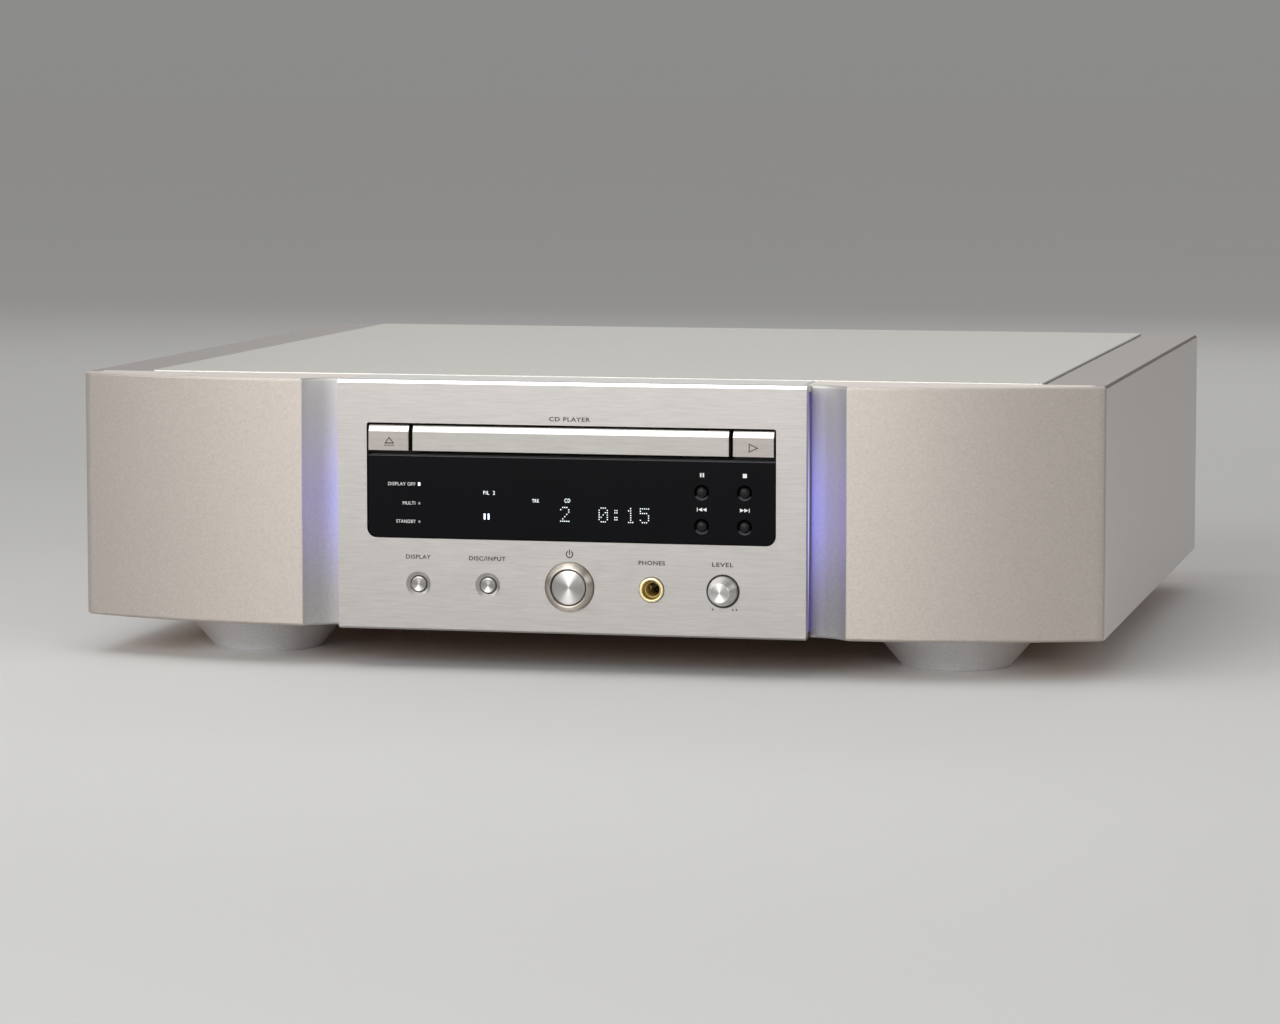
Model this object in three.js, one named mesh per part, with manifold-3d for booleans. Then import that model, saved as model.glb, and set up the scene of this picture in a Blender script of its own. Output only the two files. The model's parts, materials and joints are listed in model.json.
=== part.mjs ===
// A full-width CD player. A curved champagne aluminium front carries a lit display window, a
// motor-driven disc tray, push buttons, a headphone socket and a level knob. Behind it sit the disc
// loader, the power supply and the boards, inside a case on four conical feet.
//
// Millimetres. X runs to the right as seen from the front, Z is up from the surface that the feet
// stand on, and Y runs back from the front plane of the centre panel. The whole group is then moved
// forward by FRONT_OFFSET, so that the origin is under the middle of the object.

import * as THREE from 'three';
import { mergeVertices } from 'three/addons/utils/BufferGeometryUtils.js';
import Module from 'manifold-3d';

const wasm = await Module();
wasm.setup();

// ---------------------------------------------------------------- driving dimensions

const HALF_WIDTH = 220;
const BODY_BOTTOM = 17;
const BODY_TOP = 122;
const COVER_TOP = 122.5;
const KNOB_REACH = 8;
const REAR_EDGE = 397;
const JACK_END = 411;
const FRONT_OFFSET = (JACK_END - KNOB_REACH) / 2;

// Air gap between touching pieces, and how far a cut or a joined piece runs past a face.
const GAP = 0.3;
const CUT = 1;

const PANEL = { halfWidth: 100, depth: 5, topChamfer: 1.8, bottomChamfer: 0.8 };
const OPENING = { halfWidth: 87.4, bottom: 55.7, top: 104.1, lowRadius: 4.2, highRadius: 1 };
const WINDOW = { halfWidth: 87.1, bottom: 56, top: 90.4, front: 0.5, back: 3.2 };
const BEZEL_TOP = 90.8;
const DISPLAY = { halfWidth: 49.6, bottom: 60.4, top: 87.6, front: 3.6, backHalfWidth: 53, margin: 2.7 };
const CHEEK = { inner: 97.5, edge: 116.4, edgeY: 1.8, faceRadius: 244, back: 33.7, chamfer: 0.9 };
const CHEEK_WALL = { face: 7, bottom: 3, top: 3.5 };
const STRIP = { centreX: 98, centreY: -13, radius: 23.6, start: 100.5, innerY: 11 };
const SIDE = { thickness: 5, front: 27, flangeInner: 194, flangeDepth: 4, ledgeInner: 187, chamfer: 1 };
const COVER = { halfWidth: 192.7, front: 34, back: 396.5, thickness: 3, bevel: 0.4 };
const BASE = { halfWidth: 214.5, front: 34.3, back: 395, thickness: 2 };
const FLOOR_TOP = BODY_BOTTOM + BASE.thickness;
const REAR = { front: 393, back: 395, halfWidth: 214.6 };
const FOOT = { x: 152.3, frontY: 68.3, rearY: 340, bottomRadius: 23.65, topRadius: 35 };
const GUIDE = { inner: 96.2, outer: 99.7, front: 5.6, back: 10.5, bottom: 19.8, top: 118.7 };
const FRAME = { front: 8.3, wallBack: 10.3, halfWidth: 95.8, topHalfWidth: 97.2, back: 33.7, wall: 2.5 };
const TRAY_SLOT = { halfWidth: 68.6, bottom: 91, top: 104.3 };

const KEY_ROW = { bottom: 92.4, bevel: 100.4, top: 103.1, bevelDepth: 1.4, back: 5 };
const KEY_STEM = { x: 78, halfWidth: 2, bottom: 95.5, top: 98.5, clearance: 1 };
const EJECT_X = [-86.7, -69.2];
const PLAY_X = [69.2, 86.5];
const DOOR_X = [-67.6, 67.6];
const SMALL_KEYS = {
  pause_button: [56, 77.4],
  stop_button: [74.1, 77.5],
  previous_button: [56, 63.3],
  next_button: [74.1, 63.3],
};
const SMALL_KEY = {
  radius: 2.2,
  flange: 3,
  stem: 1.3,
  bore: 2.4,
  dish: 3.25,
  dishFloor: 2.45,
  dishDepth: 1.4,
};
const SPUN_KEYS = { display_button: [-65.2, 36.4], input_button: [-35.2, 36.5] };
const SPUN_KEY = {
  radius: 3.4,
  flange: 4.4,
  stem: 1.5,
  bore: 3.65,
  dish: 5.35,
  dishFloor: 3.75,
  dishDepth: 0.9,
};
const POWER = { x: 0, z: 36.7, buttonRadius: 7.3, bezelRadius: 10.35, neckRadius: 8.7, seat: 1.2, reach: 3 };
const PHONES = { x: 35, z: 36.45, ringRadius: 5.2, boreRadius: 3.25, boreEnd: 31, bodyRadius: 7 };
const LEVEL = { x: 65.2, z: 36.6, baseRadius: 6.35, faceRadius: 4.15, wellRadius: 7.05, wellDepth: 2 };
const CONTROL = { half: 8, collarRadius: 4.5, shaftRadius: 3, front: 12.5, back: 22 };
const STEM_END = 11;
const KEY_BOARD = {
  front: 13.5,
  thickness: 1.6,
  halfWidth: 91,
  bottom: 24,
  top: 107,
  neck: 70.5,
  saddle: 90.5,
};

const SPINDLE_Y = 88;
const TRAY = { halfWidth: 65, front: 5.3, back: 195, bottom: 93.5, top: 98.5, wellFloor: 95.5, notch: 20 };
const WELL = { discRadius: 60.5, smallRadius: 40.5, step: 0.8 };
const GEAR_MODULE = 1;
const GEAR = { bottom: 90.6, top: 93.1, bore: 2.1, postRadius: 1.8, hubRadius: 4 };
const DRIVE_GEAR = { teeth: 24, x: 45, y: 40 };
const PINION = { teeth: 12, x: 27, y: 40, pulleyRadius: 11 };
const MOTOR = { x: -15, y: 40, radius: 12, bottom: 66, shaftRadius: 1, pulleyRadius: 4 };
const PULLEY_Z = [86.5, 89];
const BELT_Z = [87.1, 88.4];
const BELT_THICKNESS = 1.2;
const RACK = { x: 57, back: 61, start: 30, end: 194, bottom: 91.3 };
const DECK = { bottom: 82, top: 84.5, halfWidth: 71, front: 26, back: 205 };
const LOADER_WALL = {
  inner: 66,
  front: 32,
  top: 104,
  rear: 200,
  railInner: 62.2,
  railLow: 91.4,
  railHigh: 100.4,
};
const TRAVERSE = { halfWidth: 46, front: 61, back: 168, bottom: 82, top: 84, pivotY: 164, pivotRadius: 2 };
const CLAMP = {
  bridgeBottom: 104.3,
  bridgeTop: 106.3,
  bore: 13.5,
  halfDepth: 20,
  ribBottom: 105,
  ribTop: 109,
};
const SLED = { rodX: -21, screwX: 21, z: 88.5, front: 99.5, back: 165, rodRadius: 1.5, motorRadius: 4.2 };
const PICKUP = { halfWidth: 25, front: 104, back: 127, lensY: 111, below: 2.6, above: 3.4, bore: 1.8 };

const BOARD = { bottom: 27, thickness: 1.6, postRadius: 3, postInset: 5 };
const TRANSFORMER = { x: -140, y: 110, radius: 46, shoulder: 61, top: 65, holeRadius: 9 };

const INLET = { x: -172, z: 44, bodyHalfX: 14, bodyHalfZ: 10.3, flangeHalfX: 25, flangeHalfZ: 13.8 };
const LINE_JACKS = [[112, 72], [146, 72]];
const REMOTE_JACKS = [[62, 76], [62, 52]];
const COAX_JACKS = [[-8, 76], [-8, 52]];
const OPTICAL_PORTS = [[-38, 76], [-38, 52]];
const USB_PORT = [-66, 64];
const PORT = { halfX: 7, halfZ: 6.5, inner: 388 };
const JACK = {
  neck: 5.6,
  hole: 6,
  collar: 7.2,
  barrel: 4.15,
  pinHole: 1.6,
  pinDepth: 11,
  inner: 388,
  block: 376,
};

// Sides of a round piece, by how closely it is seen.
const FINE = 28;
const MEDIUM = 20;
const COARSE = 12;

// ---------------------------------------------------------------- outlines and solids

const point = (x, y) => new THREE.Vector2(x, y);

function arc(x, y, radius, from, to, steps) {
  const points = [];
  for (let i = 0; i <= steps; i += 1) {
    const angle = from + ((to - from) * i) / steps;
    points.push(point(x + radius * Math.cos(angle), y + radius * Math.sin(angle)));
  }
  return points;
}

function circle(x, y, radius, sides) {
  return arc(x, y, radius, 0, 2 * Math.PI * (1 - 1 / sides), sides - 1);
}

function rectangle(x0, x1, y0, y1) {
  return [point(x0, y0), point(x1, y0), point(x1, y1), point(x0, y1)];
}

function roundedRectangle(x0, x1, y0, y1, lowRadius, highRadius, steps) {
  const quarter = Math.PI / 2;
  return [
    ...arc(x1 - lowRadius, y0 + lowRadius, lowRadius, -quarter, 0, steps),
    ...arc(x1 - highRadius, y1 - highRadius, highRadius, 0, quarter, steps),
    ...arc(x0 + highRadius, y1 - highRadius, highRadius, quarter, 2 * quarter, steps),
    ...arc(x0 + lowRadius, y0 + lowRadius, lowRadius, 2 * quarter, 3 * quarter, steps),
  ];
}

function mirrored(points) {
  return points.map((p) => point(-p.x, p.y));
}

// A closed geometry as a manifold solid with its faces pointing out.
function solid(geometry) {
  geometry.deleteAttribute('normal');
  geometry.deleteAttribute('uv');
  const welded = mergeVertices(geometry, 1e-4);
  const position = welded.attributes.position;
  const corners = welded.index.array;
  const [a, b, c] = [new THREE.Vector3(), new THREE.Vector3(), new THREE.Vector3()];
  const triangles = [];
  let volume = 0;
  for (let i = 0; i < corners.length; i += 3) {
    const [ia, ib, ic] = [corners[i], corners[i + 1], corners[i + 2]];
    if (ia !== ib && ib !== ic && ic !== ia) {
      triangles.push(ia, ib, ic);
      a.fromBufferAttribute(position, ia);
      b.fromBufferAttribute(position, ib);
      c.fromBufferAttribute(position, ic);
      volume += a.dot(b.cross(c));
    }
  }
  if (volume < 0) triangles.reverse();
  const mesh = new wasm.Mesh({
    numProp: 3,
    vertProperties: new Float32Array(position.array),
    triVerts: new Uint32Array(triangles),
  });
  return new wasm.Manifold(mesh);
}

function geometryOf(manifold) {
  const mesh = manifold.getMesh();
  const geometry = new THREE.BufferGeometry();
  geometry.setAttribute('position', new THREE.BufferAttribute(new Float32Array(mesh.vertProperties), 3));
  geometry.setIndex(new THREE.BufferAttribute(new Uint32Array(mesh.triVerts), 1));
  geometry.computeVertexNormals();
  return geometry;
}

const join = (first, ...others) => others.reduce((whole, next) => whole.add(next), first);
const cut = (first, ...tools) => tools.reduce((whole, tool) => whole.subtract(tool), first);

function block(x0, x1, y0, y1, z0, z1) {
  const geometry = new THREE.BoxGeometry(x1 - x0, y1 - y0, z1 - z0);
  return solid(geometry.translate((x0 + x1) / 2, (y0 + y1) / 2, (z0 + z1) / 2));
}

function extruded(outline, holes, depth, bevel = 0) {
  const shape = new THREE.Shape(outline);
  shape.holes = holes.map((hole) => new THREE.Path(hole));
  return new THREE.ExtrudeGeometry(shape, {
    depth: depth - 2 * bevel,
    bevelEnabled: bevel > 0,
    bevelThickness: bevel,
    bevelSize: bevel,
    bevelOffset: -bevel,
    bevelSegments: 1,
  }).translate(0, 0, bevel);
}

// An outline in X and Y, extruded upwards.
function slab(outline, holes, z0, z1, bevel = 0) {
  return solid(extruded(outline, holes, z1 - z0, bevel).translate(0, 0, z0));
}

// An outline in X and Z, extruded from front to back.
function plate(outline, holes, y0, y1) {
  return solid(extruded(outline, holes, y1 - y0).rotateX(Math.PI / 2).translate(0, y1, 0));
}

// An outline in Y and Z, extruded from left to right.
function bar(outline, x0, x1) {
  const turn = new THREE.Matrix4().makeBasis(
    new THREE.Vector3(0, 1, 0),
    new THREE.Vector3(0, 0, 1),
    new THREE.Vector3(1, 0, 0),
  );
  return solid(extruded(outline, [], x1 - x0).applyMatrix4(turn).translate(x0, 0, 0));
}

// A profile of [radius, y] pairs turned about a front-to-back axis.
function turnedY(profile, x, z, sides) {
  const points = profile.map(([radius, y]) => point(radius, y));
  return solid(new THREE.LatheGeometry(points, sides).translate(x, 0, z));
}

// A profile of [radius, z] pairs turned about an upright axis.
function turnedZ(profile, x, y, sides) {
  const points = profile.map(([radius, z]) => point(radius, z));
  return solid(new THREE.LatheGeometry(points, sides).rotateX(Math.PI / 2).translate(x, y, 0));
}

const rodY = (x, z, radius, y0, y1, sides = COARSE) =>
  turnedY([[0, y0], [radius, y0], [radius, y1], [0, y1]], x, z, sides);

const rodZ = (x, y, radius, z0, z1, sides = COARSE) =>
  turnedZ([[0, z0], [radius, z0], [radius, z1], [0, z1]], x, y, sides);

// ---------------------------------------------------------------- materials

const finish = (color, roughness, metalness) =>
  new THREE.MeshStandardMaterial({ color, roughness, metalness });

const champagne = finish(0xcabfb4, 0.45, 0.7);
const brushed = finish(0xd2ccc6, 0.35, 0.8);
const casePaint = finish(0xb9b3ab, 0.55, 0.4);
const castGrey = finish(0x9a9a99, 0.5, 0.6);
const steel = finish(0xa9acb0, 0.4, 0.8);
const copper = finish(0xb07a52, 0.35, 0.85);
const blackPlastic = finish(0x17171a, 0.5, 0);
const blackAcrylic = finish(0x0b0b0d, 0.08, 0);
const lightGuide = finish(0x6a78ff, 0.3, 0);
const gold = finish(0xd0a95c, 0.3, 0.9);
const circuitGreen = finish(0x24613f, 0.6, 0);
const greyPlastic = finish(0x57595c, 0.55, 0);
const beltRubber = finish(0x1d1d1d, 0.85, 0);

// ---------------------------------------------------------------- case

function footSolid() {
  const soleEdge = 0.75;
  const coneTop = 13.2;
  const bandInset = 0.8;
  const bandBottom = 14.4;
  const top = BODY_BOTTOM - GAP;
  const profile = [
    [0, 0],
    [FOOT.bottomRadius - soleEdge, 0],
    [FOOT.bottomRadius, soleEdge],
    [FOOT.topRadius - bandInset, coneTop],
    [FOOT.topRadius, bandBottom],
    [FOOT.topRadius, top],
    [0, top],
  ];
  return turnedZ(profile, 0, 0, FINE);
}

function baseSolid() {
  const floor = rectangle(-BASE.halfWidth, BASE.halfWidth, BASE.front, BASE.back);
  return slab(floor, [], BODY_BOTTOM, FLOOR_TOP);
}

// Side plate with a top flange, and a ledge under the edge of the cover.
function sidePanelSolid() {
  const inner = HALF_WIDTH - SIDE.thickness;
  const outline = [
    point(inner, BODY_BOTTOM),
    point(HALF_WIDTH, BODY_BOTTOM),
    point(HALF_WIDTH, BODY_TOP - SIDE.chamfer),
    point(HALF_WIDTH - SIDE.chamfer, BODY_TOP),
    point(inner, BODY_TOP),
  ];
  const underFlange = BODY_TOP - SIDE.flangeDepth;
  const ledgeTop = COVER_TOP - COVER.thickness - GAP;
  const flange = block(SIDE.flangeInner, inner + 1, COVER.front, REAR_EDGE, underFlange, BODY_TOP);
  const ledgeOuter = SIDE.flangeInner + 1;
  const ledge = block(SIDE.ledgeInner, ledgeOuter, COVER.front, REAR_EDGE, underFlange - 1, ledgeTop);
  return join(plate(outline, [], SIDE.front, REAR_EDGE), flange, ledge);
}

function coverSolid() {
  const outline = rectangle(-COVER.halfWidth, COVER.halfWidth, COVER.front, COVER.back);
  return slab(outline, [], COVER_TOP - COVER.thickness, COVER_TOP, COVER.bevel);
}

function rearPanelSolid() {
  const shoulder = BODY_TOP - SIDE.flangeDepth - 1 - GAP;
  const crown = COVER_TOP - COVER.thickness - GAP;
  const floor = FLOOR_TOP + GAP;
  const neck = SIDE.ledgeInner - GAP;
  const outline = [
    point(-REAR.halfWidth, floor),
    point(REAR.halfWidth, floor),
    point(REAR.halfWidth, shoulder),
    point(neck, shoulder),
    point(neck, crown),
    point(-neck, crown),
    point(-neck, shoulder),
    point(-REAR.halfWidth, shoulder),
  ];
  const window = (x, z, halfX, halfZ) => rectangle(x - halfX, x + halfX, z - halfZ, z + halfZ);
  const jacks = [...LINE_JACKS, ...REMOTE_JACKS, ...COAX_JACKS];
  const jackHoles = jacks.map(([x, z]) => circle(x, z, JACK.hole, COARSE));
  const ports = [...OPTICAL_PORTS, USB_PORT];
  const portHoles = ports.map(([x, z]) => window(x, z, PORT.halfX + GAP, PORT.halfZ + GAP));
  const inletHole = window(INLET.x, INLET.z, INLET.bodyHalfX + GAP, INLET.bodyHalfZ + GAP);
  return plate(outline, [...jackHoles, ...portHoles, inletHole], REAR.front, REAR.back);
}

// ---------------------------------------------------------------- front

// Height of the cheek's face behind the front plane, which sweeps back towards the side.
const faceY = (x) => CHEEK.edgeY + (x - CHEEK.edge) ** 2 / (2 * CHEEK.faceRadius);

function sweep(from, to, steps, offset) {
  const points = [];
  for (let i = 0; i <= steps; i += 1) {
    const x = from + ((to - from) * i) / steps;
    points.push(point(x, faceY(x) + offset));
  }
  return points;
}

// Plan outline of the right cheek: a hollow strip beside the centre panel, then the swept face.
function cheekOutline() {
  const startAngle = Math.acos((STRIP.start - STRIP.centreX) / STRIP.radius);
  const endAngle = Math.acos((CHEEK.edge - STRIP.centreX) / STRIP.radius);
  const strip = arc(STRIP.centreX, STRIP.centreY, STRIP.radius, startAngle, endAngle, 8);
  const inner = HALF_WIDTH - SIDE.thickness - GAP;
  const seam = SIDE.front - GAP;
  return [
    point(CHEEK.inner, CHEEK.back),
    point(CHEEK.inner, STRIP.innerY),
    ...strip.slice(0, -1),
    ...sweep(CHEEK.edge, HALF_WIDTH, 16, 0),
    point(HALF_WIDTH, seam),
    point(inner, seam),
    point(inner, CHEEK.back),
  ];
}

function cheekSolid(side) {
  const inner = CHEEK.edge + CHEEK_WALL.face;
  const outer = HALF_WIDTH - 2 * CHEEK_WALL.face;
  const pocket = [
    ...sweep(inner, outer, 8, CHEEK_WALL.face),
    point(outer, CHEEK.back + CUT),
    point(inner, CHEEK.back + CUT),
  ];
  const face = side > 0 ? cheekOutline() : mirrored(cheekOutline());
  const hollow = side > 0 ? pocket : mirrored(pocket);
  const shell = slab(face, [], BODY_BOTTOM, BODY_TOP, CHEEK.chamfer);
  return cut(shell, slab(hollow, [], BODY_BOTTOM + CHEEK_WALL.bottom, BODY_TOP - CHEEK_WALL.top));
}

function openingOutline() {
  const { halfWidth, bottom, top, lowRadius, highRadius } = OPENING;
  return roundedRectangle(-halfWidth, halfWidth, bottom, top, lowRadius, highRadius, 5);
}

// Shallow dish that a small round button sits in.
function spunDish([x, z]) {
  const { dish, dishFloor, dishDepth } = SPUN_KEY;
  const lip = 0.45;
  const profile = [
    [0, -CUT],
    [dish, -CUT],
    [dish, 0],
    [dish - lip, 0.35],
    [dishFloor, dishDepth],
    [0, dishDepth],
  ];
  return turnedY(profile, x, z, MEDIUM);
}

function centrePanelSolid() {
  const edge = PANEL.halfWidth;
  const spunPlaces = Object.values(SPUN_KEYS);
  const holes = [
    openingOutline(),
    circle(POWER.x, POWER.z, POWER.neckRadius + GAP, MEDIUM),
    circle(PHONES.x, PHONES.z, PHONES.ringRadius + 0.25, FINE),
    circle(LEVEL.x, LEVEL.z, CONTROL.collarRadius + 0.5, COARSE),
    ...spunPlaces.map(([x, z]) => circle(x, z, SPUN_KEY.bore, MEDIUM)),
  ];
  const sheet = plate(rectangle(-edge, edge, BODY_BOTTOM, BODY_TOP), holes, 0, PANEL.depth);
  const topWedge = [
    point(-CUT, BODY_TOP - PANEL.topChamfer - CUT),
    point(PANEL.topChamfer + CUT, BODY_TOP + CUT),
    point(-CUT, BODY_TOP + CUT),
  ];
  const bottomWedge = [
    point(-CUT, BODY_BOTTOM - CUT),
    point(PANEL.bottomChamfer + CUT, BODY_BOTTOM - CUT),
    point(-CUT, BODY_BOTTOM + PANEL.bottomChamfer + CUT),
  ];
  return cut(
    sheet,
    bar(topWedge, -edge - CUT, edge + CUT),
    bar(bottomWedge, -edge - CUT, edge + CUT),
    rodY(POWER.x, POWER.z, POWER.bezelRadius + GAP, -CUT, POWER.seat + GAP, FINE),
    rodY(LEVEL.x, LEVEL.z, LEVEL.wellRadius, -CUT, LEVEL.wellDepth, FINE),
    ...spunPlaces.map(spunDish),
  );
}

// Clearance hole round the stem of a button beside the door.
function stemWindow(x) {
  const { halfWidth, bottom, top, clearance } = KEY_STEM;
  const reach = halfWidth + clearance;
  return rectangle(x - reach, x + reach, bottom - clearance, top + clearance);
}

// Moulded inner frame: front wall with the tray slot, top and bottom walls that close the front.
function frontFrameSolid() {
  const { front, wallBack, halfWidth, topHalfWidth, back, wall } = FRAME;
  const floor = BODY_BOTTOM + wall;
  const ceiling = BODY_TOP - 3;
  const lip = PANEL.depth + GAP;
  const lipHalfWidth = PANEL.halfWidth - 0.1;
  const stemHoles = [
    ...Object.values(SMALL_KEYS).map(([x, z]) => circle(x, z, SMALL_KEY.stem + 0.5, 8)),
    ...Object.values(SPUN_KEYS).map(([x, z]) => circle(x, z, SPUN_KEY.stem + 0.5, 8)),
    ...[-KEY_STEM.x, KEY_STEM.x].map(stemWindow),
  ];
  const wallOutline = rectangle(-halfWidth, halfWidth, floor - CUT, ceiling + CUT);
  const wallHoles = [
    rectangle(-TRAY_SLOT.halfWidth, TRAY_SLOT.halfWidth, TRAY_SLOT.bottom, TRAY_SLOT.top),
    displayOutline(0.4),
    circle(POWER.x, POWER.z, POWER.neckRadius + 0.6, COARSE),
    circle(PHONES.x, PHONES.z, PHONES.ringRadius + 0.8, COARSE),
    circle(LEVEL.x, LEVEL.z, CONTROL.half, COARSE),
    ...stemHoles,
  ];
  return join(
    plate(wallOutline, wallHoles, front, wallBack),
    block(-topHalfWidth, topHalfWidth, lip, back, ceiling, BODY_TOP),
    block(-lipHalfWidth, lipHalfWidth, lip, GUIDE.back, ceiling, BODY_TOP),
    block(-topHalfWidth, topHalfWidth, lip, back, BODY_BOTTOM, floor),
    block(-lipHalfWidth, lipHalfWidth, lip, GUIDE.back, BODY_BOTTOM, floor),
    block(halfWidth - wall, halfWidth, front, back, floor - CUT, ceiling + CUT),
    block(-halfWidth, wall - halfWidth, front, back, floor - CUT, ceiling + CUT),
  );
}

function lightGuideSolid(side) {
  const [x0, x1] = side > 0 ? [GUIDE.inner, GUIDE.outer] : [-GUIDE.outer, -GUIDE.inner];
  return block(x0, x1, GUIDE.front, GUIDE.back, GUIDE.bottom, GUIDE.top);
}

function windowOutline(top) {
  const { halfWidth, bottom } = WINDOW;
  return roundedRectangle(-halfWidth, halfWidth, bottom, top, OPENING.lowRadius - GAP, 0.6, 4);
}

function displayOutline(clearance) {
  const { halfWidth, bottom, top } = DISPLAY;
  const reach = halfWidth + clearance;
  return rectangle(-reach, reach, bottom - clearance, top + clearance);
}

function windowSolid() {
  const { front, back } = WINDOW;
  const keys = Object.values(SMALL_KEYS);
  const holes = keys.map(([x, z]) => circle(x, z, SMALL_KEY.bore, COARSE));
  const { dish, dishFloor, dishDepth } = SMALL_KEY;
  const floor = front + dishDepth;
  const profile = [[0, front - CUT], [dish, front - CUT], [dish, front], [dishFloor, floor], [0, floor]];
  const dishes = keys.map(([x, z]) => turnedY(profile, x, z, COARSE));
  return cut(plate(windowOutline(WINDOW.top), holes, front, back), ...dishes);
}

function windowBezelSolid() {
  const keyHoles = Object.values(SMALL_KEYS).map(([x, z]) =>
    circle(x, z, SMALL_KEY.flange + 0.5, COARSE));
  const holes = [displayOutline(0.4), ...keyHoles];
  return plate(windowOutline(BEZEL_TOP), holes, WINDOW.back + GAP, FRAME.front - 0.4);
}

function displayModuleSolid() {
  const { halfWidth, bottom, top, front, backHalfWidth, margin } = DISPLAY;
  const backFront = FRAME.wallBack + GAP;
  const glass = block(-halfWidth, halfWidth, front, backFront + 0.1, bottom, top);
  return join(glass, block(-backHalfWidth, backHalfWidth, backFront, 12, bottom - margin, top + margin));
}

// ---------------------------------------------------------------- controls

// Button or door front with a bevelled top edge.
function rowFront([x0, x1]) {
  const outline = [
    point(0, KEY_ROW.bottom),
    point(KEY_ROW.back, KEY_ROW.bottom),
    point(KEY_ROW.back, KEY_ROW.top),
    point(KEY_ROW.bevelDepth, KEY_ROW.top),
    point(0, KEY_ROW.bevel),
  ];
  return bar(outline, x0, x1);
}

function rowKeySolid(range) {
  const centre = Math.sign(range[0]) * KEY_STEM.x;
  const { halfWidth, bottom, top } = KEY_STEM;
  const [x0, x1] = [centre - halfWidth, centre + halfWidth];
  return join(rowFront(range), block(x0, x1, KEY_ROW.back - CUT, STEM_END, bottom, top));
}

function smallKeySolid([x, z]) {
  const { radius, flange, stem } = SMALL_KEY;
  const flangeFront = 4.2;
  const flangeBack = 5.4;
  const profile = [
    [0, -0.15],
    [radius - 0.9, -0.05],
    [radius - 0.25, 0.3],
    [radius, 0.9],
    [radius, flangeFront],
    [flange, flangeFront],
    [flange, flangeBack],
    [stem, flangeBack],
    [stem, STEM_END],
    [0, STEM_END],
  ];
  return turnedY(profile, x, z, COARSE);
}

function spunKeySolid([x, z]) {
  const { radius, flange, stem } = SPUN_KEY;
  const flangeFront = 5.6;
  const flangeBack = 6.8;
  const profile = [
    [0, 0.45],
    [radius - 0.5, 0],
    [radius, 0.35],
    [radius, flangeFront],
    [flange, flangeFront],
    [flange, flangeBack],
    [stem, flangeBack],
    [stem, STEM_END],
    [0, STEM_END],
  ];
  return turnedY(profile, x, z, MEDIUM);
}

function powerButtonSolid() {
  const radius = POWER.buttonRadius;
  const stem = 3;
  const back = 6;
  const end = 13.5;
  const profile = [
    [0, -1.5],
    [radius - 0.7, -2.2],
    [radius, -1.6],
    [radius, back],
    [stem, back],
    [stem, end],
    [0, end],
  ];
  return turnedY(profile, POWER.x, POWER.z, FINE);
}

function powerBezelSolid() {
  const { bezelRadius, neckRadius, seat, reach } = POWER;
  const inner = POWER.buttonRadius + GAP;
  const back = 7.5;
  const profile = [
    [inner, back],
    [neckRadius, back],
    [neckRadius, seat],
    [bezelRadius, seat],
    [bezelRadius, 0],
    [bezelRadius - 1.9, -reach + 0.15],
    [bezelRadius - 2.2, -reach],
    [inner + 0.25, -reach],
    [inner, -reach + 0.3],
    [inner, back],
  ];
  return turnedY(profile, POWER.x, POWER.z, FINE);
}

function powerSwitchSolid() {
  const { x, z } = POWER;
  const [halfX, halfZ] = [8, 9];
  return join(block(x - halfX, x + halfX, 19, 38, z - halfZ, z + halfZ), rodY(x, z, 2.5, 16, 20));
}

function phonesSolid() {
  const { ringRadius, boreRadius, boreEnd, bodyRadius } = PHONES;
  const lip = -1.1;
  const shoulder = FRAME.wallBack + 0.5;
  const end = boreEnd + 3;
  const profile = [
    [0, boreEnd],
    [boreRadius, boreEnd],
    [boreRadius, 1.6],
    [ringRadius - 0.9, lip + 0.3],
    [ringRadius - 0.6, lip],
    [ringRadius - 0.3, lip],
    [ringRadius, lip + 0.3],
    [ringRadius, shoulder],
    [bodyRadius, shoulder],
    [bodyRadius, end],
    [0, end],
  ];
  return turnedY(profile, PHONES.x, PHONES.z, MEDIUM);
}

// Bell-shaped knob with a blind bore for the shaft and a pointer notch at its foot.
function knobSolid() {
  const { baseRadius, faceRadius } = LEVEL;
  const shaftBore = CONTROL.shaftRadius + 0.1;
  const boreEnd = -4.6;
  const foot = LEVEL.wellDepth - 0.4;
  const profile = [
    [0, boreEnd],
    [shaftBore, boreEnd],
    [shaftBore, foot],
    [baseRadius, foot],
    [baseRadius, -0.7],
    [baseRadius - 0.5, -2.2],
    [baseRadius - 1.3, -4.4],
    [faceRadius + 0.4, -KNOB_REACH + 1.1],
    [faceRadius, -KNOB_REACH + 0.25],
    [faceRadius - 0.35, -KNOB_REACH],
    [0, -KNOB_REACH + 0.3],
  ];
  const notch = new THREE.BoxGeometry(0.9, 3.2, 2.2).translate(0, 0.2, -baseRadius);
  notch.rotateY(Math.PI / 4);
  return cut(turnedY(profile, 0, 0, FINE), solid(notch));
}

function potentiometerSolid() {
  const { x, z } = LEVEL;
  const { half, collarRadius, shaftRadius, front, back } = CONTROL;
  return join(
    block(x - half, x + half, front, back, z - half, z + half),
    rodY(x, z, collarRadius, LEVEL.wellDepth + CUT, front + 0.5),
    rodY(x, z, shaftRadius, -4, 4),
  );
}

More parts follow.
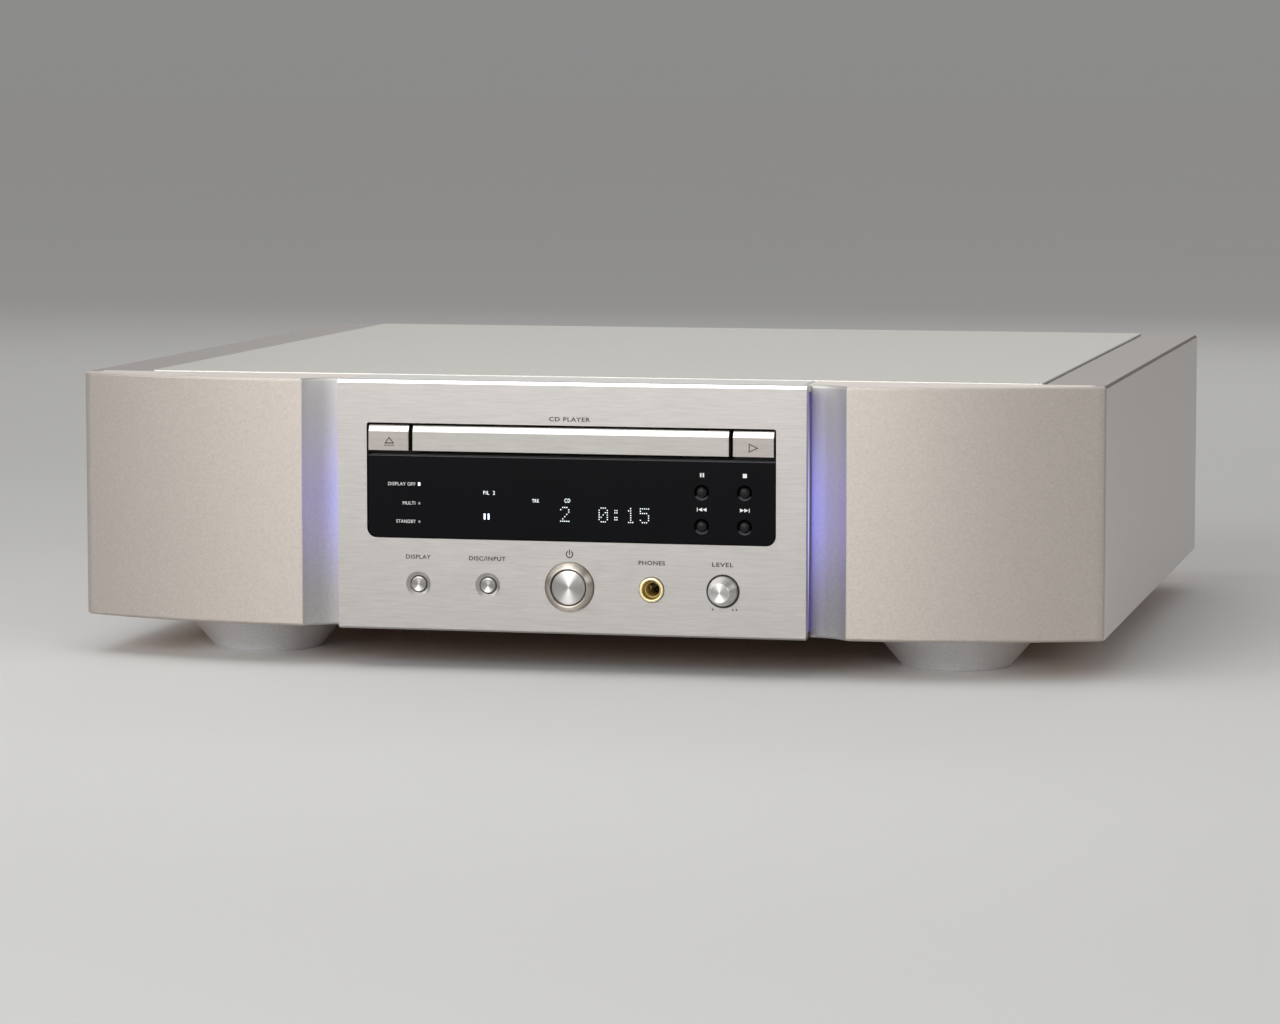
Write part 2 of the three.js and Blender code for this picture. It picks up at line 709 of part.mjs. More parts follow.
// Board with a tact switch behind each stem and cut-outs round the socket, switch and control.
function keyBoardSolid() {
  const { front, thickness, halfWidth, bottom, top, neck, saddle } = KEY_BOARD;
  const outline = [
    point(-halfWidth, bottom),
    point(halfWidth, bottom),
    point(halfWidth, top),
    point(neck, top),
    point(neck, saddle),
    point(-neck, saddle),
    point(-neck, top),
    point(-halfWidth, top),
  ];
  const reach = CONTROL.half + 0.6;
  const holes = [
    circle(POWER.x, POWER.z, 5, COARSE),
    circle(PHONES.x, PHONES.z, PHONES.bodyRadius + 1, COARSE),
    rectangle(LEVEL.x - reach, LEVEL.x + reach, LEVEL.z - reach, LEVEL.z + reach),
  ];
  const stemZ = (KEY_STEM.bottom + KEY_STEM.top) / 2;
  const rowPlaces = [[-KEY_STEM.x, stemZ], [KEY_STEM.x, stemZ]];
  const places = [...Object.values(SMALL_KEYS), ...Object.values(SPUN_KEYS), ...rowPlaces];
  const half = 3;
  const switches = places.map(([x, z]) =>
    block(x - half, x + half, front - 1, front + 0.5, z - half, z + half));
  return join(plate(outline, holes, front, front + thickness), ...switches);
}

// ---------------------------------------------------------------- disc loader

const TOOTH_HALF = 0.21 * Math.PI * GEAR_MODULE;
const ADDENDUM = 0.9 * GEAR_MODULE;
const DEDENDUM = 1.15 * GEAR_MODULE;
const FLANK = Math.tan((20 * Math.PI) / 180);

// Straight-flanked spur teeth. The turn is in tooth steps.
function gearOutline(x, y, teeth, turn) {
  const pitchRadius = (teeth * GEAR_MODULE) / 2;
  const step = (2 * Math.PI) / teeth;
  const rootHalf = (TOOTH_HALF + FLANK * DEDENDUM) / pitchRadius;
  const tipHalf = (TOOTH_HALF - FLANK * ADDENDUM) / pitchRadius;
  const points = [];
  for (let i = 0; i < teeth; i += 1) {
    const middle = (i + turn) * step;
    const at = (radius, angle) => point(x + radius * Math.cos(angle), y + radius * Math.sin(angle));
    points.push(at(pitchRadius - DEDENDUM, middle - rootHalf));
    points.push(at(pitchRadius + ADDENDUM, middle - tipHalf));
    points.push(at(pitchRadius + ADDENDUM, middle + tipHalf));
    points.push(at(pitchRadius - DEDENDUM, middle + rootHalf));
  }
  return points;
}

// Rack teeth point towards the drive gear, with a tooth gap opposite the gear's centre.
function rackOutline() {
  const step = Math.PI * GEAR_MODULE;
  const points = [point(RACK.back, RACK.start)];
  let middle = DRIVE_GEAR.y + step * (Math.ceil((RACK.start - DRIVE_GEAR.y) / step) + 0.5);
  points.push(point(RACK.x + DEDENDUM, RACK.start));
  while (middle < RACK.end - step / 2) {
    points.push(point(RACK.x + DEDENDUM, middle - TOOTH_HALF - FLANK * DEDENDUM));
    points.push(point(RACK.x - ADDENDUM, middle - TOOTH_HALF + FLANK * ADDENDUM));
    points.push(point(RACK.x - ADDENDUM, middle + TOOTH_HALF - FLANK * ADDENDUM));
    points.push(point(RACK.x + DEDENDUM, middle + TOOTH_HALF + FLANK * DEDENDUM));
    middle += step;
  }
  points.push(point(RACK.x + DEDENDUM, RACK.end));
  points.push(point(RACK.back, RACK.end));
  return points;
}

function traySolid() {
  const { halfWidth, front, back, bottom, top, wellFloor, notch } = TRAY;
  const outline = [
    point(-halfWidth, front),
    point(halfWidth, front),
    point(halfWidth, back),
    point(notch, back),
    ...arc(0, SPINDLE_Y, notch, 0, -Math.PI, 12),
    point(-notch, back),
    point(-halfWidth, back),
  ];
  return cut(
    join(slab(outline, [], bottom, top), slab(rackOutline(), [], RACK.bottom, bottom + CUT)),
    rodZ(0, SPINDLE_Y, WELL.discRadius, wellFloor, top + CUT, 2 * MEDIUM),
    rodZ(0, SPINDLE_Y, WELL.smallRadius, wellFloor - WELL.step, top + CUT, FINE),
  );
}

// Deck on four legs, with side walls that guide the tray and a window for the traverse.
function loaderFrameSolid() {
  const { bottom, top, halfWidth, front, back } = DECK;
  const window = rectangle(-50, 50, TRAVERSE.front - 3, TRAVERSE.back + 4);
  const shaftHole = circle(MOTOR.x, MOTOR.y, MOTOR.shaftRadius + 1.5, COARSE);
  const deck = slab(rectangle(-halfWidth, halfWidth, front, back), [window, shaftHole], bottom, top);
  const posts = [DRIVE_GEAR, PINION].map(({ x, y }) => rodZ(x, y, GEAR.postRadius, top - CUT, GEAR.top));
  const { inner, railInner, railLow, railHigh } = LOADER_WALL;
  const railOuter = inner + 1;
  const walls = [];
  for (const side of [-1, 1]) {
    const between = (a, b) => (side > 0 ? [a, b] : [-b, -a]);
    walls.push(block(...between(inner, halfWidth), LOADER_WALL.front, back, top - CUT, LOADER_WALL.top));
    walls.push(block(...between(railInner, railOuter), LOADER_WALL.front, back, railLow, TRAY.bottom - GAP));
    walls.push(block(...between(railInner, railOuter), LOADER_WALL.front, back, TRAY.top + GAP, railHigh));
    for (const y of [36, 192]) {
      walls.push(block(...between(60, 70), y, y + 10, FLOOR_TOP + GAP, top - CUT));
    }
  }
  const rearWall = block(-halfWidth, halfWidth, LOADER_WALL.rear, back, top - CUT, LOADER_WALL.top);
  return join(deck, ...posts, ...walls, rearWall);
}

function clampBridgeSolid() {
  const { bridgeBottom, bridgeTop, bore, halfDepth, ribBottom, ribTop } = CLAMP;
  const reach = DECK.halfWidth;
  const outline = rectangle(-reach, reach, SPINDLE_Y - halfDepth, SPINDLE_Y + halfDepth);
  const bridge = slab(outline, [circle(0, SPINDLE_Y, bore, MEDIUM)], bridgeBottom, bridgeTop);
  const ribStarts = [SPINDLE_Y - halfDepth + 1, SPINDLE_Y + halfDepth - 3];
  const ribs = ribStarts.map((y) => block(-reach, reach, y, y + 2, ribBottom, ribTop));
  return join(bridge, ...ribs);
}

// Magnet puck: a wide foot under the bridge, a waist in its bore and a rim above it.
function clamperSolid() {
  const hub = { radius: 9, bottom: 101.6 };
  const foot = { radius: 16, bottom: 100.6, top: 103.4 };
  const waist = CLAMP.bore - 1;
  const rim = { radius: 15.5, bottom: CLAMP.bridgeTop + 0.5, top: 108.4 };
  const profile = [
    [0, hub.bottom],
    [hub.radius, hub.bottom],
    [hub.radius, foot.bottom],
    [foot.radius, foot.bottom],
    [foot.radius, foot.top],
    [waist, foot.top],
    [waist, rim.bottom],
    [rim.radius, rim.bottom],
    [rim.radius, rim.top],
    [0, rim.top],
  ];
  return turnedZ(profile, 0, SPINDLE_Y, MEDIUM);
}

function rodX(x0, x1, y, z, radius) {
  return bar(circle(y, z, radius, COARSE), x0, x1);
}

// Pivoting plate that carries the spindle and the sled. Saddles hold the rod and the screw.
function traversePlateSolid() {
  const { halfWidth, front, back, bottom, top, pivotY, pivotRadius } = TRAVERSE;
  const slot = rectangle(-14, 14, PICKUP.front + 2, back - 10);
  const saddleTop = SLED.z - SLED.rodRadius - GAP;
  const saddle = (x, y) => block(x - 3, x + 3, y, y + 3, top - CUT, saddleTop);
  const saddles = [
    saddle(SLED.rodX, SLED.back - 3),
    saddle(SLED.screwX, SLED.back - 3),
    saddle(SLED.rodX, SLED.front + 0.5),
  ];
  const pivotEnd = halfWidth + 2.5;
  const pivot = rodX(-pivotEnd, pivotEnd, pivotY, (bottom + top) / 2, pivotRadius);
  return join(slab(rectangle(-halfWidth, halfWidth, front, back), [slot], bottom, top), ...saddles, pivot);
}

function spindleMotorSolid() {
  const radius = 13;
  const bottom = TRAVERSE.top + GAP;
  const top = 92.5;
  const profile = [[0, bottom], [radius, bottom], [radius, top - 0.9], [radius - 1, top], [0, top]];
  return turnedZ(profile, 0, SPINDLE_Y, MEDIUM);
}

// Spindle, disc seat and the cone that centres the disc.
function turntableSolid() {
  const spindleBottom = 92.8;
  const seatBottom = 96.6;
  const seatTop = 99;
  const seatRadius = 15;
  const profile = [
    [0, spindleBottom],
    [1, spindleBottom],
    [1, seatBottom],
    [seatRadius - 0.6, seatBottom],
    [seatRadius, seatBottom + 0.6],
    [seatRadius, seatTop - 0.4],
    [seatRadius - 0.4, seatTop],
    [7.4, seatTop + 0.2],
    [6.6, seatTop + 1.1],
    [0, seatTop + 1.3],
  ];
  return turnedZ(profile, 0, SPINDLE_Y, MEDIUM);
}

function pickupSolid() {
  const { halfWidth, front, back, lensY, below, above, bore } = PICKUP;
  const body = block(-halfWidth, halfWidth, front, back, SLED.z - below, SLED.z + above);
  const housing = { radius: 6.5, top: 93.6 };
  const lens = { radius: 2.8, top: 95.6 };
  const profile = [
    [0, SLED.z],
    [housing.radius, SLED.z],
    [housing.radius, housing.top],
    [lens.radius + 0.6, housing.top + 0.2],
    [lens.radius, lens.top - 0.4],
    [0, lens.top],
  ];
  const bores = [SLED.rodX, SLED.screwX].map((x) => rodY(x, SLED.z, bore, front - CUT, back + CUT));
  return cut(join(body, turnedZ(profile, 0, lensY, COARSE)), ...bores);
}

const guideRodSolid = () => rodY(SLED.rodX, SLED.z, SLED.rodRadius, SLED.front, SLED.back);

// Screw with worm-like ridges, drawn as rings.
function leadScrewSolid() {
  const pitch = 6;
  const root = 1.15;
  const profile = [[0, SLED.front]];
  for (let y = SLED.front; y < SLED.back - pitch; y += pitch) {
    profile.push([root, y]);
    profile.push([SLED.rodRadius, y + pitch / 3]);
    profile.push([SLED.rodRadius, y + (2 * pitch) / 3]);
  }
  profile.push([root, SLED.back]);
  profile.push([0, SLED.back]);
  return turnedY(profile, SLED.screwX, SLED.z, 8);
}

const sledMotorSolid = () => rodY(SLED.screwX, SLED.z, SLED.motorRadius, 78, SLED.front - GAP);

function driveGearSolid() {
  const { x, y, teeth } = DRIVE_GEAR;
  const bore = circle(x, y, GEAR.bore, COARSE);
  const gear = slab(gearOutline(x, y, teeth, 0), [bore], GEAR.bottom, GEAR.top);
  return join(gear, slab(circle(x, y, GEAR.hubRadius, COARSE), [bore], PULLEY_Z[0], GEAR.bottom + CUT));
}

function pulleyGearSolid() {
  const { x, y, teeth, pulleyRadius } = PINION;
  const bore = circle(x, y, GEAR.bore, COARSE);
  const gear = slab(gearOutline(x, y, teeth, 0.5), [bore], PULLEY_Z[1] - CUT, GEAR.top);
  return join(gear, slab(circle(x, y, pulleyRadius, MEDIUM), [bore], ...PULLEY_Z));
}

function loadingMotorSolid() {
  const { x, y, radius, bottom, shaftRadius } = MOTOR;
  const can = rodZ(x, y, radius, bottom, DECK.bottom - GAP, MEDIUM);
  return join(can, rodZ(x, y, shaftRadius, DECK.bottom - 2, PULLEY_Z[1] - 1));
}

function motorPulleySolid() {
  const { x, y, pulleyRadius, shaftRadius } = MOTOR;
  const bore = circle(x, y, shaftRadius + 0.2, COARSE);
  return slab(circle(x, y, pulleyRadius, COARSE), [bore], ...PULLEY_Z);
}

// Loop round two pulleys of unlike size.
function beltLoop(clearance) {
  const far = PINION.pulleyRadius + clearance;
  const near = MOTOR.pulleyRadius + clearance;
  const lean = Math.asin((far - near) / (PINION.x - MOTOR.x));
  const quarter = Math.PI / 2;
  return [
    ...arc(PINION.x, PINION.y, far, -quarter - lean, quarter + lean, 12),
    ...arc(MOTOR.x, MOTOR.y, near, quarter + lean, 3 * quarter - lean, 6),
  ];
}

const beltSolid = () => slab(beltLoop(GAP + BELT_THICKNESS), [beltLoop(GAP)], ...BELT_Z);

// ---------------------------------------------------------------- electronics

function transformerSolid() {
  const { x, y, radius, shoulder, top, holeRadius } = TRANSFORMER;
  const bottom = FLOOR_TOP + GAP;
  const profile = [
    [0, bottom],
    [radius, bottom],
    [radius, shoulder],
    [radius - 3, top],
    [holeRadius + 3, top],
    [holeRadius, top - 2.5],
    [0, top - 2.5],
  ];
  return turnedZ(profile, x, y, FINE);
}

// Circuit board on four posts, carrying cylinders [x, y, radius, height] and boxes [x, y, w, d, h].
function boardSolid([x0, x1, y0, y1], cylinders, boxes) {
  const top = BOARD.bottom + BOARD.thickness;
  const inset = BOARD.postInset;
  const posts = [];
  for (const x of [x0 + inset, x1 - inset]) {
    for (const y of [y0 + inset, y1 - inset]) {
      posts.push(rodZ(x, y, BOARD.postRadius, FLOOR_TOP + GAP, BOARD.bottom + CUT, 6));
    }
  }
  const sunk = top - 0.5;
  const cans = cylinders.map(([x, y, radius, height]) => rodZ(x, y, radius, sunk, top + height, 10));
  const chips = boxes.map(([x, y, w, d, h]) =>
    block(x - w / 2, x + w / 2, y - d / 2, y + d / 2, sunk, top + h));
  return join(block(x0, x1, y0, y1, BOARD.bottom, top), ...posts, ...cans, ...chips);
}

function powerBoardSolid() {
  const reservoirs = [-180, -150, -120].map((x) => [x, 250, 12, 42]);
  const filters = [-185, -165, -145, -125, -105].map((x) => [x, 300, 6, 22]);
  const heatSinks = [-170, -125].map((x) => [x, 335, 34, 10, 38]);
  const boxes = [...heatSinks, [-104, 262, 18, 30, 20]];
  return boardSolid([-204, -84, 215, 372], [...reservoirs, ...filters], boxes);
}

function audioBoardSolid() {
  const couplers = [];
  for (const x of [105, 125, 145, 165, 185]) {
    couplers.push([x, 130, 7, 24]);
    couplers.push([x, 215, 5.5, 18]);
  }
  const shields = [115, 165].map((x) => [x, 290, 40, 56, 16]);
  const relays = [112, 146].map((x) => [x, 345, 16, 20, 14]);
  return boardSolid([86, 204, 62, 372], couplers, [...shields, ...relays, [145, 172, 44, 24, 10]]);
}

function digitalBoardSolid() {
  const crystals = [-50, 45].map((x) => [x, 250, 6, 12]);
  const chips = [[-30, 290, 26, 26, 2.5], [20, 290, 20, 20, 2.5], [0, 330, 60, 12, 8], [45, 320, 16, 16, 6]];
  return boardSolid([-76, 78, 226, 372], crystals, chips);
}

// Three-pin mains inlet: flange outside the rear panel, open cavity with recessed pins.
function inletSolid() {
  const { x, z, bodyHalfX, bodyHalfZ, flangeHalfX, flangeHalfZ } = INLET;
  const wall = 2;
  const corner = 3;
  const inner = 374;
  const cavityFloor = inner + 5;
  const flangeBack = REAR.back + 3;
  const pinEnd = flangeBack - 5.2;
  const rim = roundedRectangle(
    x - flangeHalfX,
    x + flangeHalfX,
    z - flangeHalfZ,
    z + flangeHalfZ,
    corner,
    corner,
    3,
  );
  const boxed = (halfX, halfZ, y0, y1) => block(x - halfX, x + halfX, y0, y1, z - halfZ, z + halfZ);
  const flange = plate(rim, [], REAR.back + GAP, flangeBack);
  const body = boxed(bodyHalfX, bodyHalfZ, inner, REAR.back + CUT);
  const cavity = boxed(bodyHalfX - wall, bodyHalfZ - wall - 0.1, cavityFloor, flangeBack + CUT);
  const pin = (dx, dz) => block(x + dx - 1, x + dx + 1, cavityFloor - CUT, pinEnd, z + dz - 2, z + dz + 2);
  return join(cut(join(flange, body), cavity), pin(-7, -1.5), pin(7, -1.5), pin(0, 3));
}

// Phono barrel through the rear panel, with a collar outside and a centre contact hole.
function phonoBarrel([x, z], end) {
  const { neck, collar, barrel, pinHole, pinDepth, inner } = JACK;
  const seat = REAR.back + GAP;
  const collarBack = seat + 2.6;
  const profile = [
    [0, inner],
    [neck, inner],
    [neck, seat],
    [collar, seat],
    [collar, collarBack],
    [barrel, collarBack],
    [barrel, end - 0.4],
    [barrel - 0.4, end],
    [pinHole, end],
    [pinHole, end - pinDepth],
    [0, end - pinDepth],
  ];
  return turnedY(profile, x, z, COARSE);
}

function jackBlock([x0, x1], [z0, z1]) {
  return block(x0, x1, JACK.block, REAR.front - GAP, z0, z1);
}

function lineJacksSolid() {
  const xs = LINE_JACKS.map(([x]) => x);
  const body = jackBlock([xs[0] - 10, xs[1] + 10], [62, 82]);
  return join(body, ...LINE_JACKS.map((place) => phonoBarrel(place, JACK_END)));
}

function remoteJacksSolid() {
  const x = REMOTE_JACKS[0][0];
  const body = jackBlock([x - 8, x + 8], [43, 85]);
  return join(body, ...REMOTE_JACKS.map((place) => phonoBarrel(place, JACK_END - 6)));
}

function digitalJacksSolid() {
  const body = jackBlock([USB_PORT[0] - 9, COAX_JACKS[0][0] + 8], [43, 85]);
  const boxed = ([x, z], halfX, halfZ, y0, y1) => block(x - halfX, x + halfX, y0, y1, z - halfZ, z + halfZ);
  const { halfX, halfZ, inner } = PORT;
  const outside = REAR.back + 5;
  const optical = OPTICAL_PORTS.map((place) => boxed(place, halfX, halfZ, inner, REAR.back + 2.4));
  const opticalMouths = OPTICAL_PORTS.map((place) => boxed(place, 4.8, 4.5, inner - 2, outside));
  const usb = boxed(USB_PORT, 6.2, 5.8, inner, REAR.back + 1.2);
  const usbMouth = boxed(USB_PORT, 4.3, 4, inner - 5, outside);
  const tongue = boxed(USB_PORT, 2.8, 1.6, inner - 6, REAR.back - 6);
  const coax = COAX_JACKS.map((place) => phonoBarrel(place, JACK_END - 2));
  return join(cut(join(body, usb, ...optical), usbMouth, ...opticalMouths), tongue, ...coax);
}

// ---------------------------------------------------------------- assembly

const player = new THREE.Group();
player.position.y = -FRONT_OFFSET;

function add(name, shape, material, x = 0, y = 0, z = 0) {
  const mesh = new THREE.Mesh(geometryOf(shape), material);
  mesh.name = name;
  mesh.position.set(x, y, z);
  player.add(mesh);
}

const foot = footSolid();
for (const [side, sign] of [['left', -1], ['right', 1]]) {
  add(`foot_front_${side}`, foot, castGrey, sign * FOOT.x, FOOT.frontY);
  add(`foot_rear_${side}`, foot, castGrey, sign * FOOT.x, FOOT.rearY);
  add(`${side}_cheek`, cheekSolid(sign), champagne);
  add(`${side}_light_guide`, lightGuideSolid(sign), lightGuide);
}
const sidePanel = sidePanelSolid();
add('right_side_panel', sidePanel, casePaint);
add('left_side_panel', sidePanel.mirror([1, 0, 0]), casePaint);
add('chassis_base', baseSolid(), copper);
add('top_cover', coverSolid(), casePaint);
add('rear_panel', rearPanelSolid(), copper);
add('center_panel', centrePanelSolid(), brushed);
add('front_frame', frontFrameSolid(), blackPlastic);

add('display_window', windowSolid(), blackAcrylic);
add('window_bezel', windowBezelSolid(), blackPlastic);
add('display_module', displayModuleSolid(), greyPlastic);
add('key_board', keyBoardSolid(), circuitGreen);

add('eject_button', rowKeySolid(EJECT_X), brushed);
add('play_button', rowKeySolid(PLAY_X), brushed);
for (const [name, place] of Object.entries(SMALL_KEYS)) add(name, smallKeySolid(place), blackPlastic);
for (const [name, place] of Object.entries(SPUN_KEYS)) add(name, spunKeySolid(place), brushed);
add('power_button', powerButtonSolid(), brushed);
add('power_bezel', powerBezelSolid(), champagne);
add('power_switch', powerSwitchSolid(), greyPlastic);
add('phones_socket', phonesSolid(), gold);
add('level_knob', knobSolid(), brushed, LEVEL.x, 0, LEVEL.z);
add('level_potentiometer', potentiometerSolid(), steel);

add('tray_door', rowFront(DOOR_X), brushed);
add('disc_tray', traySolid(), blackPlastic);
add('loader_frame', loaderFrameSolid(), greyPlastic);
add('clamp_bridge', clampBridgeSolid(), steel);
add('disc_clamper', clamperSolid(), blackPlastic);
add('traverse_plate', traversePlateSolid(), steel);
add('spindle_motor', spindleMotorSolid(), steel);
add('turntable', turntableSolid(), greyPlastic);
add('optical_pickup', pickupSolid(), greyPlastic);
add('sled_guide_rod', guideRodSolid(), steel);
add('sled_lead_screw', leadScrewSolid(), steel);
add('sled_motor', sledMotorSolid(), steel);
add('tray_drive_gear', driveGearSolid(), greyPlastic);
add('tray_pulley_gear', pulleyGearSolid(), greyPlastic);
add('loading_motor', loadingMotorSolid(), steel);
add('loading_motor_pulley', motorPulleySolid(), greyPlastic);
add('loading_belt', beltSolid(), beltRubber);

add('power_transformer', transformerSolid(), copper);
add('power_supply_board', powerBoardSolid(), circuitGreen);
add('audio_board', audioBoardSolid(), circuitGreen);
add('digital_board', digitalBoardSolid(), circuitGreen);
add('mains_inlet', inletSolid(), blackPlastic);
add('line_output_jacks', lineJacksSolid(), gold);
add('digital_jacks', digitalJacksSolid(), blackPlastic);
add('remote_jacks', remoteJacksSolid(), blackPlastic);

export default player;
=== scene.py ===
"""Looks of the CD player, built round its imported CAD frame.

Lengths in the builders are millimetres: x to the right, y back from the centre panel's front plane,
z up from the floor. at() turns them into the row frame's metres."""

import json
import math

import bmesh
import bpy
from mathutils import Matrix, Vector


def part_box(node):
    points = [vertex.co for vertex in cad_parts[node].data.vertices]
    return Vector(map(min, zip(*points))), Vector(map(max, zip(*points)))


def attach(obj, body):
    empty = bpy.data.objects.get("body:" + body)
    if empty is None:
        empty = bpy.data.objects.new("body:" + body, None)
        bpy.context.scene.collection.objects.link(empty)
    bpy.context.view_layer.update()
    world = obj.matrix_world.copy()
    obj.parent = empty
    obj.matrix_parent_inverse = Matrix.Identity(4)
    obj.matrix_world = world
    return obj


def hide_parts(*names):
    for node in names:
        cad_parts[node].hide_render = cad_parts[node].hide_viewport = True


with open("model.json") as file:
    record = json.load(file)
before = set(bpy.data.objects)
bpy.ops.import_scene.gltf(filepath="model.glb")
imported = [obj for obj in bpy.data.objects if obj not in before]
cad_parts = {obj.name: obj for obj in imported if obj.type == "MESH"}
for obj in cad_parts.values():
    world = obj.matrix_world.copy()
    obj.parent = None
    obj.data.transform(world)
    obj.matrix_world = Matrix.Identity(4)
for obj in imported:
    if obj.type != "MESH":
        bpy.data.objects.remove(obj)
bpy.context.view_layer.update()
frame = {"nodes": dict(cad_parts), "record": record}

scene = bpy.context.scene
MM = 0.001
GAP = 0.3
SHARP_ANGLE = math.radians(28)
FRONT_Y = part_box("center_panel")[0].y
SIDES = (("left", -1), ("right", 1))


# Places and boxes


def at(x, y, z):
    """A point in the builders' millimetres, as a point in the row frame."""
    return Vector((x * MM, FRONT_Y + y * MM, z * MM))


def node_box(name):
    """(x0, x1, y0, y1, z0, z1) of a CAD node, in the builders' millimetres."""
    low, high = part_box(name)
    ends = (low.x, high.x, low.y - FRONT_Y, high.y - FRONT_Y, low.z, high.z)
    return tuple(end / MM for end in ends)


def centre_of(name):
    """(x, z) of the middle of a CAD node, in millimetres."""
    x0, x1, _, _, z0, z1 = node_box(name)
    return (x0 + x1) / 2, (z0 + z1) / 2


# Shared dimensions

_, PANEL_HALF, _, PANEL_BACK, BODY_BOTTOM, BODY_TOP = node_box("center_panel")
CHEEK_INNER, HALF_WIDTH, CHEEK_EDGE_Y, CHEEK_BACK = node_box("right_cheek")[:4]
CHEEK_EDGE = 116.4
FACE_RADIUS = 244
HOLLOW_X = PANEL_HALF + 0.5
HOLLOW_BACK = 11
WINDOW = node_box("display_window")
WINDOW_FRONT = WINDOW[2]
KEY_ROW_TOP = node_box("tray_door")[5]
OPENING = (WINDOW[0] - GAP, WINDOW[1] + GAP, WINDOW[4] - GAP, KEY_ROW_TOP + 1)
REAR = node_box("rear_panel")[3]
SMALL_KEYS = {f"{word}_button": f"{word}_key" for word in ("pause", "stop", "previous", "next")}
SPUN_KEYS = {f"{word}_button": f"{word}_key" for word in ("display", "input")}
FEET = [f"foot_{row}_{side}" for row in ("front", "rear") for side in ("left", "right")]
POWER = centre_of("power_bezel")
PHONES = centre_of("phones_socket")
LEVEL = centre_of("level_knob")


# Outlines


def arc(cx, cy, radius, start, end, steps):
    """Points of an arc. Angles are in degrees."""
    points = []
    for i in range(steps + 1):
        angle = math.radians(start + (end - start) * i / steps)
        points.append((cx + radius * math.cos(angle), cy + radius * math.sin(angle)))
    return points


def circle(cx, cy, radius, sides=64):
    return arc(cx, cy, radius, 0, 360 * (1 - 1 / sides), sides - 1)


def rectangle(x0, x1, y0, y1):
    return [(x0, y0), (x1, y0), (x1, y1), (x0, y1)]


def corners(points):
    """Each point of a closed outline, with the one before it and the one after it, as vectors."""
    spots = [Vector(point) for point in points]
    return zip(spots[-1:] + spots, spots, spots[1:] + spots[:1])


def left_of(way):
    return Vector((-way.y, way.x)).normalized()


def soften(points, radius, steps):
    """Rounds the corners of a closed outline."""
    out = []
    for last, here, ahead in corners(points):
        before = (last - here).normalized() * radius
        after = (ahead - here).normalized() * radius
        for k in range(steps + 1):
            t = k / steps
            out.append(tuple(here + before * (1 - t) ** 2 + after * t * t))
    return out


def inset(points, distance):
    """A closed outline moved inwards by distance, with mitred corners."""
    sign = math.copysign(1, sum(here.cross(ahead) for _, here, ahead in corners(points)))
    out = []
    for last, here, ahead in corners(points):
        after = left_of(ahead - here) * sign
        inward = (left_of(here - last) * sign + after).normalized()
        share = max(0.3, inward.dot(after))
        out.append(tuple(here + inward * (distance / share)))
    return out


# Meshes


def xz_plane(u, v, w):
    return at(u, w, v)


def xy_plane(u, v, w):
    return at(u, v, w)


def yz_plane(u, v, w):
    return at(w, u, v)


def loft(outlines, levels, place):
    """A closed solid through outlines with equal point counts, one at each level."""
    bm = bmesh.new()
    rings = []
    for outline, level in zip(outlines, levels):
        rings.append([bm.verts.new(place(u, v, level)) for u, v in outline])
    count = len(rings[0])
    for low, high in zip(rings, rings[1:]):
        for i in range(count):
            j = (i + 1) % count
            bm.faces.new((low[i], low[j], high[j], high[i]))
    bm.faces.new(rings[0])
    bm.faces.new(rings[-1])
    return bm


def prism(outline, low, high, place, edge=0.0):
    """An extruded outline whose end edges are chamfered by edge."""
    if not edge:
        return loft([outline, outline], [low, high], place)
    small = inset(outline, edge)
    return loft([small, outline, outline, small], [low, low + edge, high - edge, high], place)


def block(x0, x1, y0, y1, z0, z1):
    return prism(rectangle(x0, x1, y0, y1), z0, z1, xy_plane)


def lathe(profile, x, z, segments=72):
    """A solid turned about the front-to-back axis through (x, z), from (radius, y) pairs."""
    return turned(profile, segments, lambda r, along, s, c: at(x + r * s, along, z + r * c))


def lathe_up(profile, x, y, segments=72):
    """A solid turned about the upright axis through (x, y), from (radius, z) pairs."""
    return turned(profile, segments, lambda r, along, s, c: at(x + r * s, y + r * c, along))


def turned(profile, segments, place):
    """A solid of revolution. A profile that ends where it starts makes a ring."""
    bm = bmesh.new()
    closed = profile[0] == profile[-1]
    rings = []
    for radius, along in profile[:-1] if closed else profile:
        turns = [2 * math.pi * i / segments for i in range(segments if radius else 1)]
        rings.append([bm.verts.new(place(radius, along, math.sin(turn), math.cos(turn))) for turn in turns])
    if closed:
        rings.append(rings[0])
    for a, b in zip(rings, rings[1:]):
        for i in range(segments):
            j = (i + 1) % segments
            four = (a[i % len(a)], a[j % len(a)], b[j % len(b)], b[i % len(b)])
            different = list(dict.fromkeys(four))
            if len(different) > 2:
                bm.faces.new(different)
    return bm


def joined(*parts):
    """Several bmeshes as one."""
    whole = bmesh.new()
    for part in parts:
        scratch = bpy.data.meshes.new("scratch")
        part.to_mesh(scratch)
        part.free()
        whole.from_mesh(scratch)
        bpy.data.meshes.remove(scratch)
    return whole


def adjust(thing, **settings):
    """The thing, once its settings are made."""
    for name, value in settings.items():
        setattr(thing, name, value)
    return thing


def link(name, mesh):
    thing = bpy.data.objects.new(name, mesh)
    scene.collection.objects.link(thing)
    return thing


def mesh_of(name, bm):
    bmesh.ops.recalc_face_normals(bm, faces=bm.faces)
    mesh = bpy.data.meshes.new(name)
    bm.to_mesh(mesh)
    bm.free()
    return mesh


